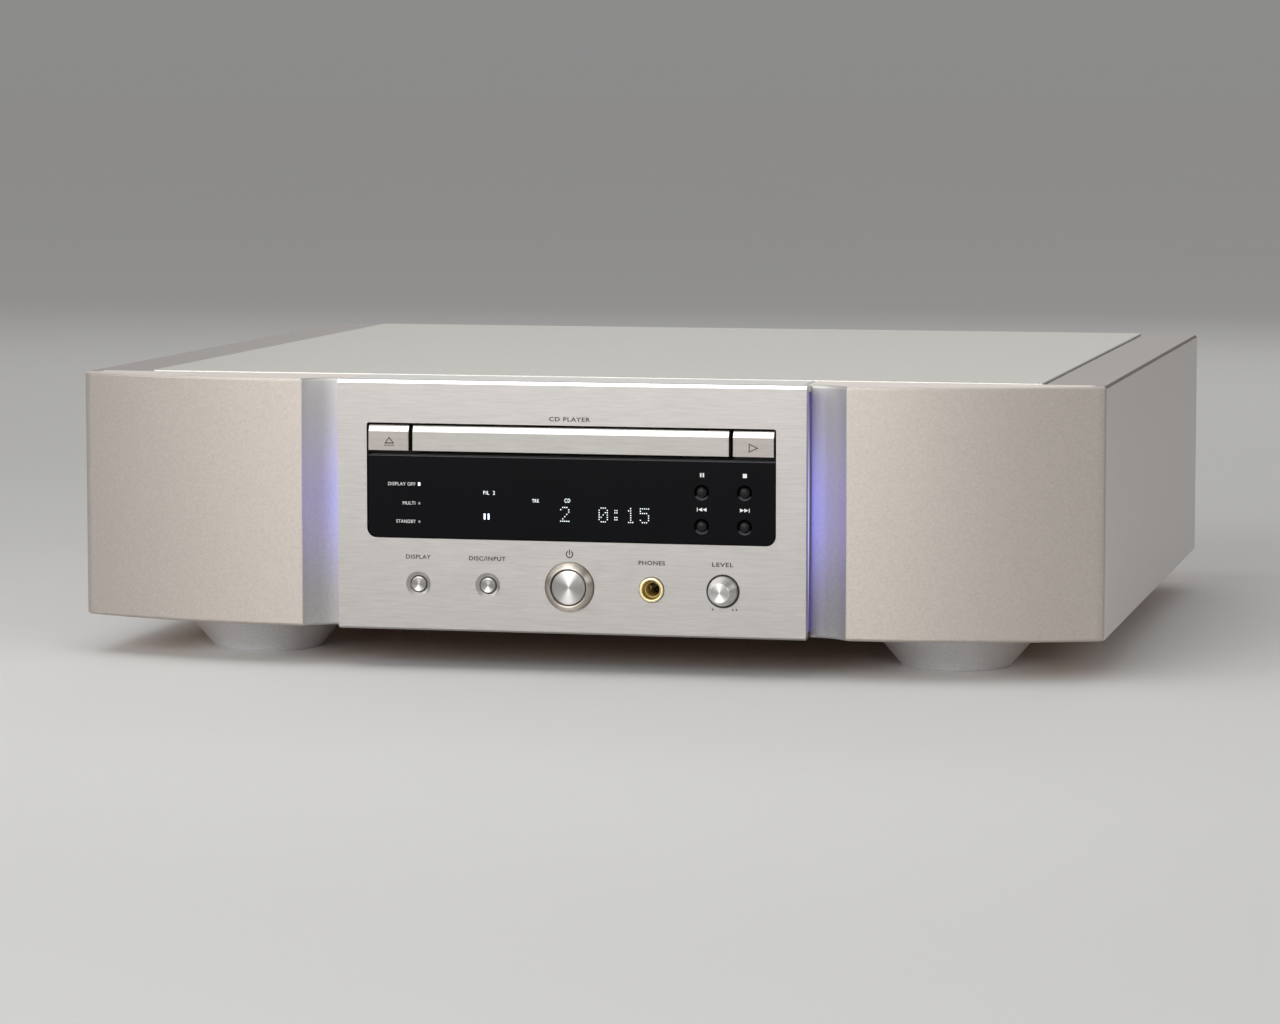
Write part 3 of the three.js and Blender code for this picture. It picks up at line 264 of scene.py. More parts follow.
def boolean(bm, tools, operation="DIFFERENCE"):
    """The bmesh cut by, or joined with, each of the other bmeshes."""
    target = link("target", mesh_of("target", bm))
    helpers = []
    for tool in tools:
        helper = link("tool", mesh_of("tool", tool))
        cut = target.modifiers.new("cut", "BOOLEAN")
        adjust(cut, operation=operation, solver="EXACT", object=helper)
        helpers.append(helper)
    graph = bpy.context.evaluated_depsgraph_get()
    made = bpy.data.meshes.new_from_object(target.evaluated_get(graph))
    for thing in [target, *helpers]:
        data = thing.data
        bpy.data.objects.remove(thing)
        bpy.data.meshes.remove(data)
    result = bmesh.new()
    result.from_mesh(made)
    bpy.data.meshes.remove(made)
    return result


OWN_SLOTS = {part["node"]: part["material_slot"] for part in frame["record"]["subparts"]}


def piece(name, bm, look, body="cabinet", replaces=None, slot=None, edge=0.0):
    """A finished piece: smooth round stretches, crisp corners, and rounded edges of that width.

    A slot is worked out, that of the node it replaces unless another is given, but the piece is not given
    it."""
    mesh = mesh_of(name, bm)
    mesh.materials.append(look.material)
    mesh.shade_smooth()
    mesh.set_sharp_from_angle(angle=SHARP_ANGLE)
    thing = link(name, mesh)
    if edge:
        round_edges(thing, edge)
    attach(thing, body)
    if replaces:
        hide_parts(replaces)
        slot = slot or OWN_SLOTS[replaces]
    return thing


def round_edges(thing, width):
    bevel = thing.modifiers.new("edges", "BEVEL")
    adjust(bevel, width=width * MM, segments=2, use_clamp_overlap=True)
    adjust(bevel, limit_method="ANGLE", angle_limit=math.radians(35))


def keep_node(name, look, edge):
    """Shows a CAD node with its own look: flat faces merged and edges rounded, by modifiers."""
    thing = frame["nodes"][name]
    thing.data.materials.clear()
    thing.data.materials.append(look.material)
    adjust(thing.modifiers.new("weld", "WELD"), merge_threshold=0.002 * MM)
    flat = thing.modifiers.new("flat", "DECIMATE")
    adjust(flat, decimate_type="DISSOLVE", angle_limit=math.radians(1))
    round_edges(thing, edge)


# Materials


def connect(node, inputs):
    """Fills a node's inputs, each with a value or from a socket."""
    for name, value in inputs.items():
        if isinstance(value, bpy.types.NodeSocket):
            node.id_data.links.new(value, node.inputs[name])
        else:
            node.inputs[name].default_value = value


def add_node(tree, kind, inputs=None, **settings):
    made = adjust(tree.nodes.new("ShaderNode" + kind), **settings)
    connect(made, inputs or {})
    return made


class Look:
    """A Principled material with object-space patterns. Colours are linear."""

    def __init__(self, name, color, metallic=0.0, roughness=0.5, **sockets):
        self.material = bpy.data.materials.new(name)
        self.material.use_nodes = True
        self.tree = self.material.node_tree
        self.shader = self.tree.nodes["Principled BSDF"]
        self.color = color
        self.bumps = None
        self.feed(Base_Color=(*color, 1), Metallic=metallic, Roughness=roughness, **sockets)

    def feed(self, **sockets):
        """Fills the shader's own inputs. An underscore in a name stands for a space."""
        connect(self.shader, {name.replace("_", " "): value for name, value in sockets.items()})

    def node(self, kind, inputs=None, **settings):
        return add_node(self.tree, kind, inputs, **settings)

    def place(self, stretch=(1, 1, 1)):
        """The point on the object, in metres, times stretch."""
        coords = self.node("TexCoord").outputs["Object"]
        return self.node("Mapping", {"Vector": coords, "Scale": stretch}).outputs["Vector"]

    def noise(self, stretch, detail=3.0, rough=0.6):
        inputs = {"Vector": self.place(stretch), "Scale": 1.0, "Detail": detail, "Roughness": rough}
        return self.node("TexNoise", inputs).outputs["Fac"]

    def math(self, operation, *values):
        return self.node("Math", dict(enumerate(values)), operation=operation).outputs["Value"]

    def ranged(self, value, low, high, to_low=0, to_high=1, kind="LINEAR"):
        inputs = {"Value": value, "From Min": low, "From Max": high, "To Min": to_low, "To Max": to_high}
        return self.node("MapRange", inputs, interpolation_type=kind).outputs["Result"]

    def blend(self, factor, a, b):
        """A colour between a and b. Each is a colour or a socket."""
        a, b = ((*value, 1) if isinstance(value, tuple) else value for value in (a, b))
        return self.node("Mix", {"Factor": factor, 6: a, 7: b}, data_type="RGBA").outputs[2]

    def tint(self, factor, dark, light):
        """Colour varies with factor between dark and light shares of the base colour."""
        low = tuple(c * dark for c in self.color)
        high = tuple(min(1, c * light) for c in self.color)
        self.shade = self.blend(factor, low, high)
        self.feed(Base_Color=self.shade)
        return self

    def overlay(self, factor, color):
        """Lays another colour over the present one, by factor."""
        self.shade = self.blend(factor, self.shade, color)
        self.feed(Base_Color=self.shade)
        return self

    def gloss(self, factor, low, high):
        self.feed(Roughness=self.ranged(factor, 0.3, 0.7, low, high))
        return self

    def bump(self, height, strength, depth):
        """Adds a bump of that depth in millimetres."""
        inputs = {"Height": height, "Strength": strength, "Distance": depth * MM}
        if self.bumps is not None:
            inputs["Normal"] = self.bumps
        self.bumps = self.node("Bump", inputs).outputs["Normal"]
        self.feed(Normal=self.bumps)
        return self

    def part(self, vector, name):
        return self.node("SeparateXYZ", {"Vector": vector}).outputs[name]

    def facing(self, name):
        """How far the surface faces along that axis: 1 when square to it, 0 when edge on."""
        return self.part(self.node("TexCoord").outputs["Normal"], name)

    def axis(self, name):
        """The point's own coordinate along that axis, in metres."""
        return self.part(self.place(), name)


# Near-white of the polished bright-cut bevels; on upward faces it is partly a painted highlight.
BRIGHT_CUT_AND_HIGHLIGHT = (0.96, 0.94, 0.915)


def brushed(name, color, roughness=0.36, highlight_from=0.3):
    """Horizontal brushing: fine short streaks along X over faint long ones, and upward faces painted
    near-white: a polished bright-cut bevel with a painted highlight.
    """
    look = Look(name, color, metallic=1.0, roughness=roughness)
    fine = look.noise((110, 900, 2400), rough=0.7)
    broad = look.noise((55, 60, 1200), detail=2)
    both = look.math("ADD", look.math("MULTIPLY", fine, 0.75), look.math("MULTIPLY", broad, 0.25))
    look.tint(look.ranged(both, 0.35, 0.65), 0.91, 1.07)
    # Painted highlight: faces turned upwards, such as bevels and the lower half of the key dishes, are
    # painted near-white as well as made glossier.
    bevel = look.ranged(look.facing("Z"), highlight_from, highlight_from + 0.1)
    look.overlay(bevel, BRIGHT_CUT_AND_HIGHLIGHT)
    worn = look.ranged(fine, 0.3, 0.7, roughness - 0.05, roughness + 0.07)
    share = look.math("SUBTRACT", 1, look.math("MULTIPLY", bevel, 0.5))
    look.feed(Roughness=look.math("MULTIPLY", worn, share))
    return look.bump(fine, 0.14, 0.02)


def blasted(name, color, roughness=0.5, metallic=0.85):
    """Fine bead-blasted anodising, mottled at two sizes."""
    look = Look(name, color, metallic=metallic, roughness=roughness)
    grain = look.noise((1500, 1500, 1500), detail=2)
    mottle = look.noise((750, 750, 750))
    both = look.math("MULTIPLY", look.math("ADD", grain, mottle), 0.5)
    look.tint(look.ranged(both, 0.35, 0.65), 0.92, 1.07)
    look.gloss(grain, roughness - 0.03, roughness + 0.05)
    return look.bump(grain, 0.2, 0.02)


def painted_top_shading(name, color, top):
    """Blasted metal with painted light or painted shade on its level top faces, painted lighter or darker
    than its walls.
    """
    look = blasted(name, color)
    # Top faces painted in another colour: painted light when top is paler, painted shade when it is darker.
    return look.overlay(look.ranged(look.facing("Z"), 0.5, 0.8), top)


def case_metal():
    """Satin side plates with painted shade: tops painted darker than the walls, and a dark band painted
    along the rounded edge between top and side.
    """
    look = painted_top_shading("case_satin", (0.765, 0.724, 0.70), (0.47, 0.435, 0.415))
    up = look.facing("Z")
    rising = look.ranged(up, 0.3, 0.5)
    falling = look.ranged(up, 0.85, 0.95, 1, 0)
    # Painted shade: a dark band on the faces tilted between top and side.
    return look.overlay(look.math("MULTIPLY", rising, falling), (0.22, 0.17, 0.16))


def moulded(name, color, roughness=0.5, grain=0.25, **sockets):
    """Moulded plastic with a fine spark-eroded texture."""
    look = Look(name, color, roughness=roughness, **sockets)
    texture = look.noise((1400, 1400, 1400), detail=2)
    look.tint(texture, 0.8, 1.2)
    look.gloss(texture, roughness - 0.06, roughness + 0.08)
    return look.bump(texture, grain, 0.03)


def plated(name, color, roughness=0.3):
    """Plated sheet metal with faint mottling."""
    look = Look(name, color, metallic=1.0, roughness=roughness)
    mottle = look.noise((90, 90, 90), detail=4)
    look.tint(mottle, 0.85, 1.1)
    return look.gloss(mottle, roughness - 0.05, roughness + 0.1)


def glow_share(look, half, edge_value):
    """Brightness along the lit edge: full at the lamp's height, fading up and down over half mm. On the
    strip beside the lamp it shapes a painted glow.
    """
    middle = 70
    height = look.math("ABSOLUTE", look.math("SUBTRACT", look.axis("Z"), middle * MM))
    return look.ranged(height, 0, half * MM, 1, edge_value, kind="SMOOTHSTEP")


def painted_glow_strip():
    """The cheek's hollow strip: a base painted darker than the cheek's, painted light towards its top, and
    a painted blue glow beside the centre panel, given as emission.
    """
    look = blasted("painted_glow_strip", (0.50, 0.49, 0.465), roughness=0.5)
    # Painted light: paler towards the top.
    above = look.ranged(look.axis("Z"), 75 * MM, 118 * MM)
    look.overlay(above, (0.66, 0.65, 0.625))
    # Painted glow: the edge lamp's blue light on the strip, painted on as emission, strongest at the lamp's
    # height and next to the panel.
    along = glow_share(look, 46, 0.03)
    away = look.math("SUBTRACT", look.math("ABSOLUTE", look.axis("X")), PANEL_HALF * MM)
    across = look.ranged(away, 0, 12 * MM, kind="SMOOTHSTEP")
    glow = look.blend(across, (0.035, 0.03, 0.5), (0.035, 0.012, 0.17))
    look.feed(Emission_Color=look.blend(along, (0, 0, 0), glow), Emission_Strength=0.9)
    return look


def light_guide():
    """Edge lamp: white-blue at mid-height and violet at its ends, dim along its back edge."""
    look = Look("light_guide", (0.02, 0.02, 0.12), roughness=0.3)
    glow = look.blend(glow_share(look, 50, 0.0), (0.10, 0.05, 0.42), (0.75, 0.74, 1.0))
    depth = look.ranged(look.axis("Y"), FRONT_Y + 8.2 * MM, FRONT_Y + 8.8 * MM)
    look.feed(Emission_Color=look.blend(depth, glow, (0.02, 0.02, 0.16)), Emission_Strength=1.0)
    return look


def circuit_board():
    """Green board with dark and metallic parts above it."""
    look = Look("circuit_board", (0.02, 0.11, 0.05), roughness=0.45)
    board_top = 29 * MM
    height = look.ranged(look.axis("Z"), board_top - 0.2 * MM, board_top)
    blotch = look.noise((55, 55, 8), detail=0)
    parts = look.blend(look.ranged(blotch, 0.45, 0.5), (0.015, 0.015, 0.02), (0.16, 0.17, 0.19))
    traces = look.noise((500, 500, 1), detail=0)
    board = look.blend(look.ranged(traces, 0.5, 0.53), (0.015, 0.09, 0.04), (0.03, 0.16, 0.07))
    look.feed(Base_Color=look.blend(height, board, parts))
    return look


def emissive(name, color, strength):
    return Look(name, color, roughness=0.4, Emission_Color=(*color, 1), Emission_Strength=strength)


TOOL_MARK = 0.32


def spun_metal(name, centre, color=(0.60, 0.585, 0.565), walls_plain=True):
    """Turned metal with tool marks round centre, an (x, z) pair, and painted light on its face: a painted
    highlight in bright wedges above and below the centre, and painted shade at its sides.
    """
    look = Look(name, color, metallic=1.0, roughness=0.34, Anisotropic=0.9, Anisotropic_Rotation=0.25)
    tangent = look.node("Tangent", direction_type="RADIAL", axis="Y")
    look.feed(Tangent=tangent.outputs["Tangent"])
    dx = look.math("SUBTRACT", look.axis("X"), centre[0] * MM)
    dz = look.math("SUBTRACT", look.axis("Z"), centre[1] * MM)
    far = look.math("SQRT", look.math("ADD", look.math("POWER", dx, 2), look.math("POWER", dz, 2)))
    wave = look.math("SINE", look.math("MULTIPLY", far, 2 * math.pi / (TOOL_MARK * MM)))
    share = look.ranged(wave, -1, 1)
    # Painted highlight and shade: bright wedges above and below the centre, darker at the sides; walls stay
    # at the bright end unless walls_plain is False.
    upright = look.math("DIVIDE", look.math("ABSOLUTE", dz), look.math("MAXIMUM", far, 0.01 * MM))
    wall = look.ranged(look.facing("Y"), -0.95, -0.8) if walls_plain else 0.0
    painted_wedges = look.math("MAXIMUM", look.math("POWER", upright, 6), wall)
    # Colour: mostly the painted wedges, with a fifth from the real tool marks.
    look.tint(look.math("MULTIPLY_ADD", painted_wedges, 0.8, look.math("MULTIPLY", share, 0.2)), 0.62, 1.15)
    return look.bump(share, 0.1, 0.01)


def turned_cast(name, color):
    """Cast foot with fine turning lines round its cone."""
    look = blasted(name, color, roughness=0.4)
    wave = look.math("SINE", look.math("MULTIPLY", look.axis("Z"), 2 * math.pi / (0.55 * MM)))
    return look.bump(look.ranged(wave, -1, 1), 0.25, 0.03)


def acrylic():
    """Near-black glossy sheet with a painted highlight: its upward faces, the upper edges, painted paler.
    """
    look = Look("black_acrylic", (0.003, 0.003, 0.004), roughness=0.07, Specular_IOR_Level=0.08)
    haze = look.noise((25, 25, 25))
    look.tint(haze, 0.8, 1.3)
    # Painted highlight: upward faces painted paler.
    look.overlay(look.ranged(look.facing("Z"), 0.4, 0.6), (0.10, 0.10, 0.11))
    return look.gloss(haze, 0.05, 0.09)


def insulator(name, color):
    return moulded("insulator_" + name, color, roughness=0.35)


# Cheek metal whose top faces are painted much paler than its walls: painted light.
CHAMPAGNE = painted_top_shading("champagne_blasted", (0.53, 0.482, 0.438), (0.92, 0.85, 0.79))
PAINTED_GLOW_STRIP = painted_glow_strip()
# Centre panel metal: only its steeper upward faces, the top chamfer and the lower half of the dishes, take
# the painted highlight.
BRUSHED = brushed("brushed_front", (0.47, 0.448, 0.43), highlight_from=0.6)
DOOR_METAL = brushed("door_metal", (0.41, 0.393, 0.369), roughness=0.38)
KEY_METAL = brushed("key_metal", (0.372, 0.344, 0.322), roughness=0.38)
COVER = blasted("cover_satin", (0.70, 0.69, 0.64), roughness=0.42)
CASE = case_metal()
FOOT = turned_cast("foot_satin", (0.86, 0.86, 0.87))
GUIDE = light_guide()
BLACK = moulded("moulded_black", (0.012, 0.012, 0.014))
GREY = moulded("moulded_grey", (0.09, 0.095, 0.1))
RUBBER = moulded("belt_rubber", (0.012, 0.012, 0.012), roughness=0.8)
FELT = moulded("foot_felt", (0.03, 0.03, 0.032), roughness=0.95, grain=0.8)
ZINC = plated("zinc_plate", (0.52, 0.53, 0.55))
COPPER = plated("copper_plate", (0.62, 0.36, 0.22), roughness=0.36)
GOLD = plated("gold_plate", (0.92, 0.80, 0.48))
GOLD_SATIN = blasted("gold_satin", (0.62, 0.47, 0.17), roughness=0.55, metallic=0.4)
BOARD = circuit_board()
BLACK_PRINT = moulded("dark_print", (0.02, 0.018, 0.018), roughness=0.6, grain=0.05)
# Painted glow: white print given a faint emission, though it is no lamp.
GLOWING_WHITE_PRINT = emissive("white_print_painted_glow", (0.62, 0.62, 0.62), 0.35)
DIM_LAMP = emissive("dim_lamp", (0.3, 0.3, 0.3), 0.1)
DIGITS = emissive("display_digits", (0.72, 0.78, 0.84), 1.0)
ACRYLIC = acrylic()
TOP_STRIP = blasted("top_strip_satin", (0.84, 0.825, 0.80), roughness=0.4)
KEY_CAP = moulded("key_cap_gloss", (0.008, 0.008, 0.009), 0.3, 0.05, Specular_IOR_Level=0.2)
TRAY_BLACK = moulded("tray_black", (0.018, 0.018, 0.02), roughness=0.42)
NYLON = moulded("gear_nylon", (0.62, 0.61, 0.56), roughness=0.45, grain=0.1)
STEEL_ROD = plated("ground_steel", (0.6, 0.61, 0.62), roughness=0.22)
CAN = plated("transformer_can_metal", (0.30, 0.30, 0.31), roughness=0.4)
RED_RING = insulator("red", (0.5, 0.02, 0.02))
WHITE_RING = insulator("white", (0.7, 0.7, 0.68))
GREY_RING = insulator("grey", (0.12, 0.12, 0.12))
ORANGE_RING = insulator("orange", (0.6, 0.19, 0.02))


# Stage


def camera():
    """The photograph's viewpoint: far off, a little to the right and above, with a long lens."""
    data = bpy.data.cameras.new("camera")
    thing = link("camera", adjust(data, sensor_width=36, lens=127.43, clip_end=50))
    thing.location = at(440, -1822, 251.6)
    thing.rotation_euler = (math.radians(90 - 5.59), 0, math.radians(12.68))
    scene.camera = thing


# Each softbox: its place, its aim, its width and its height in metres, and its power in watts.
SOFTBOXES = {
    "front": ((-0.5, -2.4, 0.9), (0, -0.1, 0.05), 1.2, 0.9, 19.5),
    "left": ((-1.6, -1.6, 0.9), (0, -0.1, 0.05), 0.9, 0.9, 7.5),
    "low": ((-0.1, -1.9, 0.22), (0, -0.2, 0.02), 1.6, 0.3, 2.2),
    "top": ((-0.1, -0.42, 0.42), (-0.05, -0.2, 0.12), 0.7, 0.12, 0.4),
    "overhead": ((-0.25, -0.22, 1.15), (0, -0.2, 0.1), 0.35, 0.6, 1.35),
    "right": ((1.8, -1.2, 0.9), (0, -0.1, 0.05), 0.9, 0.9, 4.8),
    "back": ((0, 2.0, 1.2), (0, 0.1, 0.1), 2.0, 0.8, 5.5),
}


def softbox(name, spot, aim, width, height, power):
    data = bpy.data.lights.new(name, "AREA")
    thing = link(name, adjust(data, shape="RECTANGLE", size=width, size_y=height, energy=power))
    thing.location = spot
    thing.rotation_euler = (Vector(aim) - Vector(spot)).to_track_quat("-Z", "Y").to_euler()
    thing.visible_camera = False


def paper_floor():
    reach = 40
    bm = bmesh.new()
    bm.faces.new([bm.verts.new((x, y, 0)) for x, y in circle(0, 0, reach)])
    floor = link("floor", mesh_of("floor", bm))
    look = Look("floor_paper", (0.80, 0.797, 0.79), roughness=0.75)
    look.tint(look.noise((2, 2, 2)), 0.985, 1.015)
    floor.data.materials.append(look.material)


def studio_world(strength):
    """Even pale light, a little dimmer at the horizon, where it meets the floor without a line."""
    world = bpy.data.worlds.new("studio")
    world.use_nodes = True
    tree = world.node_tree
    coords = add_node(tree, "TexCoord").outputs["Generated"]
    height = add_node(tree, "SeparateXYZ", {"Vector": coords}).outputs["Z"]
    inputs = {"Value": height, "From Max": 0.6, "To Min": 0.8 * strength, "To Max": strength}
    light = add_node(tree, "MapRange", inputs).outputs["Result"]
    connect(tree.nodes["Background"], {"Color": (1, 0.99, 0.98, 1), "Strength": light})
    scene.world = world


def stage():
    paper_floor()
    studio_world(0.33)
    scene.view_settings.view_transform = "Standard"
    for name, settings in SOFTBOXES.items():
        softbox(name, *settings)


# Front panel and cheeks


def rounded_opening():
    """The panel's opening: wide corners below, nearly square ones above."""
    x0, x1, z0, z1 = OPENING
    wide = 4.2
    small = 1
    outline = arc(x0 + wide, z0 + wide, wide, 180, 270, 10)
    outline += arc(x1 - wide, z0 + wide, wide, 270, 360, 10)
    outline += arc(x1 - small, z1 - small, small, 0, 90, 4)
    return outline + arc(x0 + small, z1 - small, small, 90, 180, 4)


def rod(x, z, radius, y0, y1, segments=72):
    return lathe([(0, y0), (radius, y0), (radius, y1), (0, y1)], x, z, segments)


def center_panel():
    """Thick brushed plate: chamfers along its top and bottom, the top one painted near-white as a
    bright-cut bevel with a painted highlight, one opening, five recesses.
    """
    top = 1.3
    low = 0.8
    before = -1
    past = PANEL_BACK + 1
    profile = [(0, BODY_BOTTOM + low), (low, BODY_BOTTOM), (PANEL_BACK, BODY_BOTTOM)]
    profile += [(PANEL_BACK, BODY_TOP), (top, BODY_TOP), (0, BODY_TOP - top)]
    dish = [(0, before), (5.6, before), (5.35, 0), (5.15, 0.12), (4.6, 0.5), (3.75, 0.85), (3.65, 1)]
    dish += [(3.65, past), (0, past)]
    tools = [prism(rounded_opening(), before, past, xz_plane)]
    tools += [lathe(dish, *centre_of(name)) for name in SPUN_KEYS]
    tools += [rod(*POWER, 10.65, before, 1.5, 96), rod(*POWER, 9, 1, past)]
    tools += [rod(*PHONES, 5.45, before, past)]
    tools += [rod(*LEVEL, 7.05, before, 2, 96), rod(*LEVEL, 5, 1, past)]
    body = boolean(prism(profile, -PANEL_HALF, PANEL_HALF, yz_plane), tools)
    piece("center_plate", body, BRUSHED, replaces="center_panel", edge=0.18)


def face_y(x):
    """How far back the cheek's swept face is at x."""
    return CHEEK_EDGE_Y + (x - CHEEK_EDGE) ** 2 / (2 * FACE_RADIUS)


def cheek_outline():
    """Plan of the right cheek: the hollow strip beside the panel, then the swept face."""
    cx, cy, radius = 98, -13, 23.6
    start = math.degrees(math.acos((HOLLOW_X - cx) / radius))
    end = math.degrees(math.acos((CHEEK_EDGE - cx) / radius))
    outline = [(CHEEK_INNER, CHEEK_BACK), (CHEEK_INNER, HOLLOW_BACK)]
    outline += arc(cx, cy, radius, start, end, 20)[:-1]
    steps = 44
    for i in range(steps + 1):
        x = CHEEK_EDGE + (HALF_WIDTH - 0.8 - CHEEK_EDGE) * i / steps
        outline.append((x, face_y(x)))
    rebate_y = node_box("right_side_panel")[2] - GAP
    rebate_x = HALF_WIDTH - 5.3
    outline += [(HALF_WIDTH, face_y(HALF_WIDTH) + 0.6), (HALF_WIDTH, rebate_y)]
    return outline + [(rebate_x, rebate_y), (rebate_x, CHEEK_BACK)]


def cheeks():
    """Thick blasted cheeks, their top faces painted paler. The hollow strip carries a painted blue glow
    from the edge lamp.
    """
    for side, sign in SIDES:
        outline = [(x * sign, y) for x, y in cheek_outline()]
        body = prism(outline, BODY_BOTTOM, BODY_TOP, xy_plane, edge=0.9)
        name = f"{side}_cheek"
        thing = piece(name + "_shell", body, CHAMPAGNE, replaces=name, edge=0.3)
        thing.data.materials.append(PAINTED_GLOW_STRIP.material)
        for face in thing.data.polygons:
            x = abs(face.center.x) / MM
            y = (face.center.y - FRONT_Y) / MM
            if HOLLOW_X - 0.1 < x < CHEEK_EDGE and y < HOLLOW_BACK and abs(face.normal.z) < 0.9:
                face.material_index = 1


def display_hole(y0, y1):
    return block(-50, 50, y0, y1, 60, 88)


def inner_frame():
    """Black moulding behind the panel, with a silver strip across the top between the cheeks."""
    _, wide, front, back, _, _ = node_box("front_frame")
    side = 97.2
    step = 10.5
    through = (7, 12)
    wall_half = 95.8
    wall = prism(rectangle(-wall_half, wall_half, 18.5, 120), 8.3, 10.3, xz_plane)
    tray_hole = block(-68.6, 68.6, *through, 91, 104.3)
    holes = [tray_hole, display_hole(*through)]
    holes += [rod(*POWER, 9.3, *through), rod(*PHONES, 6, *through), rod(*LEVEL, 8, *through)]
    holes += [rod(*centre_of(name), 1.8, *through, 24) for name in SMALL_KEYS]
    holes += [rod(*centre_of(name), 2, *through, 24) for name in SPUN_KEYS]
    holes += [block(x - 3, x + 3, *through, 94.5, 99.5) for x in (-78, 78)]
    parts = [boolean(wall, holes), block(-side, side, front, back, BODY_BOTTOM, 19.5)]
    parts += [block(-wide, wide, front, step - 0.1, BODY_BOTTOM + 0.01, 19.49)]
    parts += [block(x0, x0 + 2.5, 8.4, back, 19.6, 118.9) for x0 in (-wall_half, wall_half - 2.5)]
    piece("inner_frame", joined(*parts), BLACK, replaces="front_frame")
    outline = [(-wide, front), (wide, front), (wide, step), (side, step)]
    outline += [(side, back), (-side, back), (-side, step), (-wide, step)]
    strip = prism(outline, 119, BODY_TOP, xy_plane)
    slot = "brushed_aluminium"
    piece("front_top_strip", strip, TOP_STRIP, replaces="front_frame", slot=slot, edge=0.35)


def window_backing():
    """Black bezel behind the window, open for the display and the small keys."""
    _, _, front, back, _, _ = node_box("window_bezel")
    through = (3, 9)
    above = block(-90, 90, *through, 90.8, 110)
    holes = [display_hole(*through), above]
    holes += [rod(*centre_of(name), 3.5, *through, 32) for name in SMALL_KEYS]
    bezel = boolean(prism(inset(rounded_opening(), GAP), front, back, xz_plane), holes)
    piece("window_backing", bezel, BLACK, replaces="window_bezel")


def window():
    """Black acrylic window with a polished dish round each small key."""
    x0, x1, front, back, _, top = WINDOW
    outline = [(x, z) for x, z in inset(rounded_opening(), GAP) if z < top]
    outline += [(x1, top), (x0, top)]
    dish = [(0, -1), (3.25, -1), (3.25, 0.5), (3.1, 0.75), (2.75, 1.5), (2.42, 1.95), (2.42, 5), (0, 5)]
    tools = [lathe(dish, *centre_of(name), segments=64) for name in SMALL_KEYS]
    sheet = boolean(prism(outline, front, back, xz_plane, edge=0.25), tools)
    piece("window_acrylic", sheet, ACRYLIC, replaces="display_window", edge=0.1)


# Buttons, socket and knob


def small_keys():
    """Dark glossy caps with a soft rim, on plungers that reach the switches."""
    profile = [(0, -0.15), (0.9, -0.1), (1.4, 0), (1.85, 0.22), (2.1, 0.55), (2.2, 1), (2.2, 4.2)]
    profile += [(3, 4.2), (3, 5.4), (1.3, 5.4), (1.3, 11), (0, 11)]
    for name, body in SMALL_KEYS.items():
        cap = lathe(profile, *centre_of(name), segments=48)
        piece(name + "_cap", cap, KEY_CAP, body=body, replaces=name)


def lining(name, spot, inner, outer, y0, y1, segments=96, look=BLACK):
    """A thin ring that lines a gap or a bore. Black rings in the gaps round the keys and knob are painted
    shade.
    """
    ring = [(inner, y0), (outer, y0), (outer, y1), (inner, y1), (inner, y0)]
    piece(name, lathe(ring, *spot, segments), look, slot="black_plastic")


def spun_keys():
    """Turned caps, slightly dished, each on its plunger, with a black ring of painted shade filling the gap
    round each.
    """
    profile = [(0, 0.42), (1.2, 0.36), (2.1, 0.16), (2.75, 0), (3.0, 0.08), (3.2, 0.4), (3.2, 5.6)]
    profile += [(4.4, 5.6), (4.4, 6.8), (1.5, 6.8), (1.5, 11), (0, 11)]
    for name, body in SPUN_KEYS.items():
        spot = centre_of(name)
        metal = spun_metal(name + "_face", spot, color=(0.55, 0.535, 0.515))
        cap = lathe(profile, *spot)
        piece(name + "_cap", cap, metal, body=body, replaces=name)
        # Painted shade: a black ring filling the gap round the cap.
        lining(name + "_gap_shade", spot, 3.25, 3.63, 1.2, 3, 72)


def power_key():
    """Cone-shaped polished bezel round a turned button, with a black ring of painted shade filling the gap
    between them.
    """
    face = [(0, -1.9), (6.7, -2.2), (7.05, -2.1), (7.2, -1.8), (7.2, 6)]
    face += [(3, 6), (3, 13.5), (0, 13.5)]
    metal = spun_metal("power_face", POWER)
    cap = lathe(face, *POWER, segments=96)
    piece("power_cap", cap, metal, body="power_key", replaces="power_button")
    ring = [(7.75, 7.5), (8.7, 7.5), (8.7, 1.2), (10.35, 1.2), (10.35, -0.2)]
    ring += [(10.15, -0.75), (9.8, -1.4), (9.35, -2.0), (8.85, -2.5), (8.4, -2.85), (8.15, -3)]
    ring += [(7.95, -2.95), (7.75, -2.65), (7.75, 7.5)]
    bezel = lathe(ring, *POWER, segments=112)
    # Painted wedges of light and shade over the whole cone of the ring.
    polished = spun_metal("power_ring_metal", POWER, color=(0.78, 0.71, 0.63), walls_plain=False)
    piece("power_ring", bezel, polished, replaces="power_bezel", edge=0.08)
    # Painted shade: a black ring filling the gap round the button.
    lining("power_gap_shade", POWER, 7.25, 7.7, -1.2, 1)


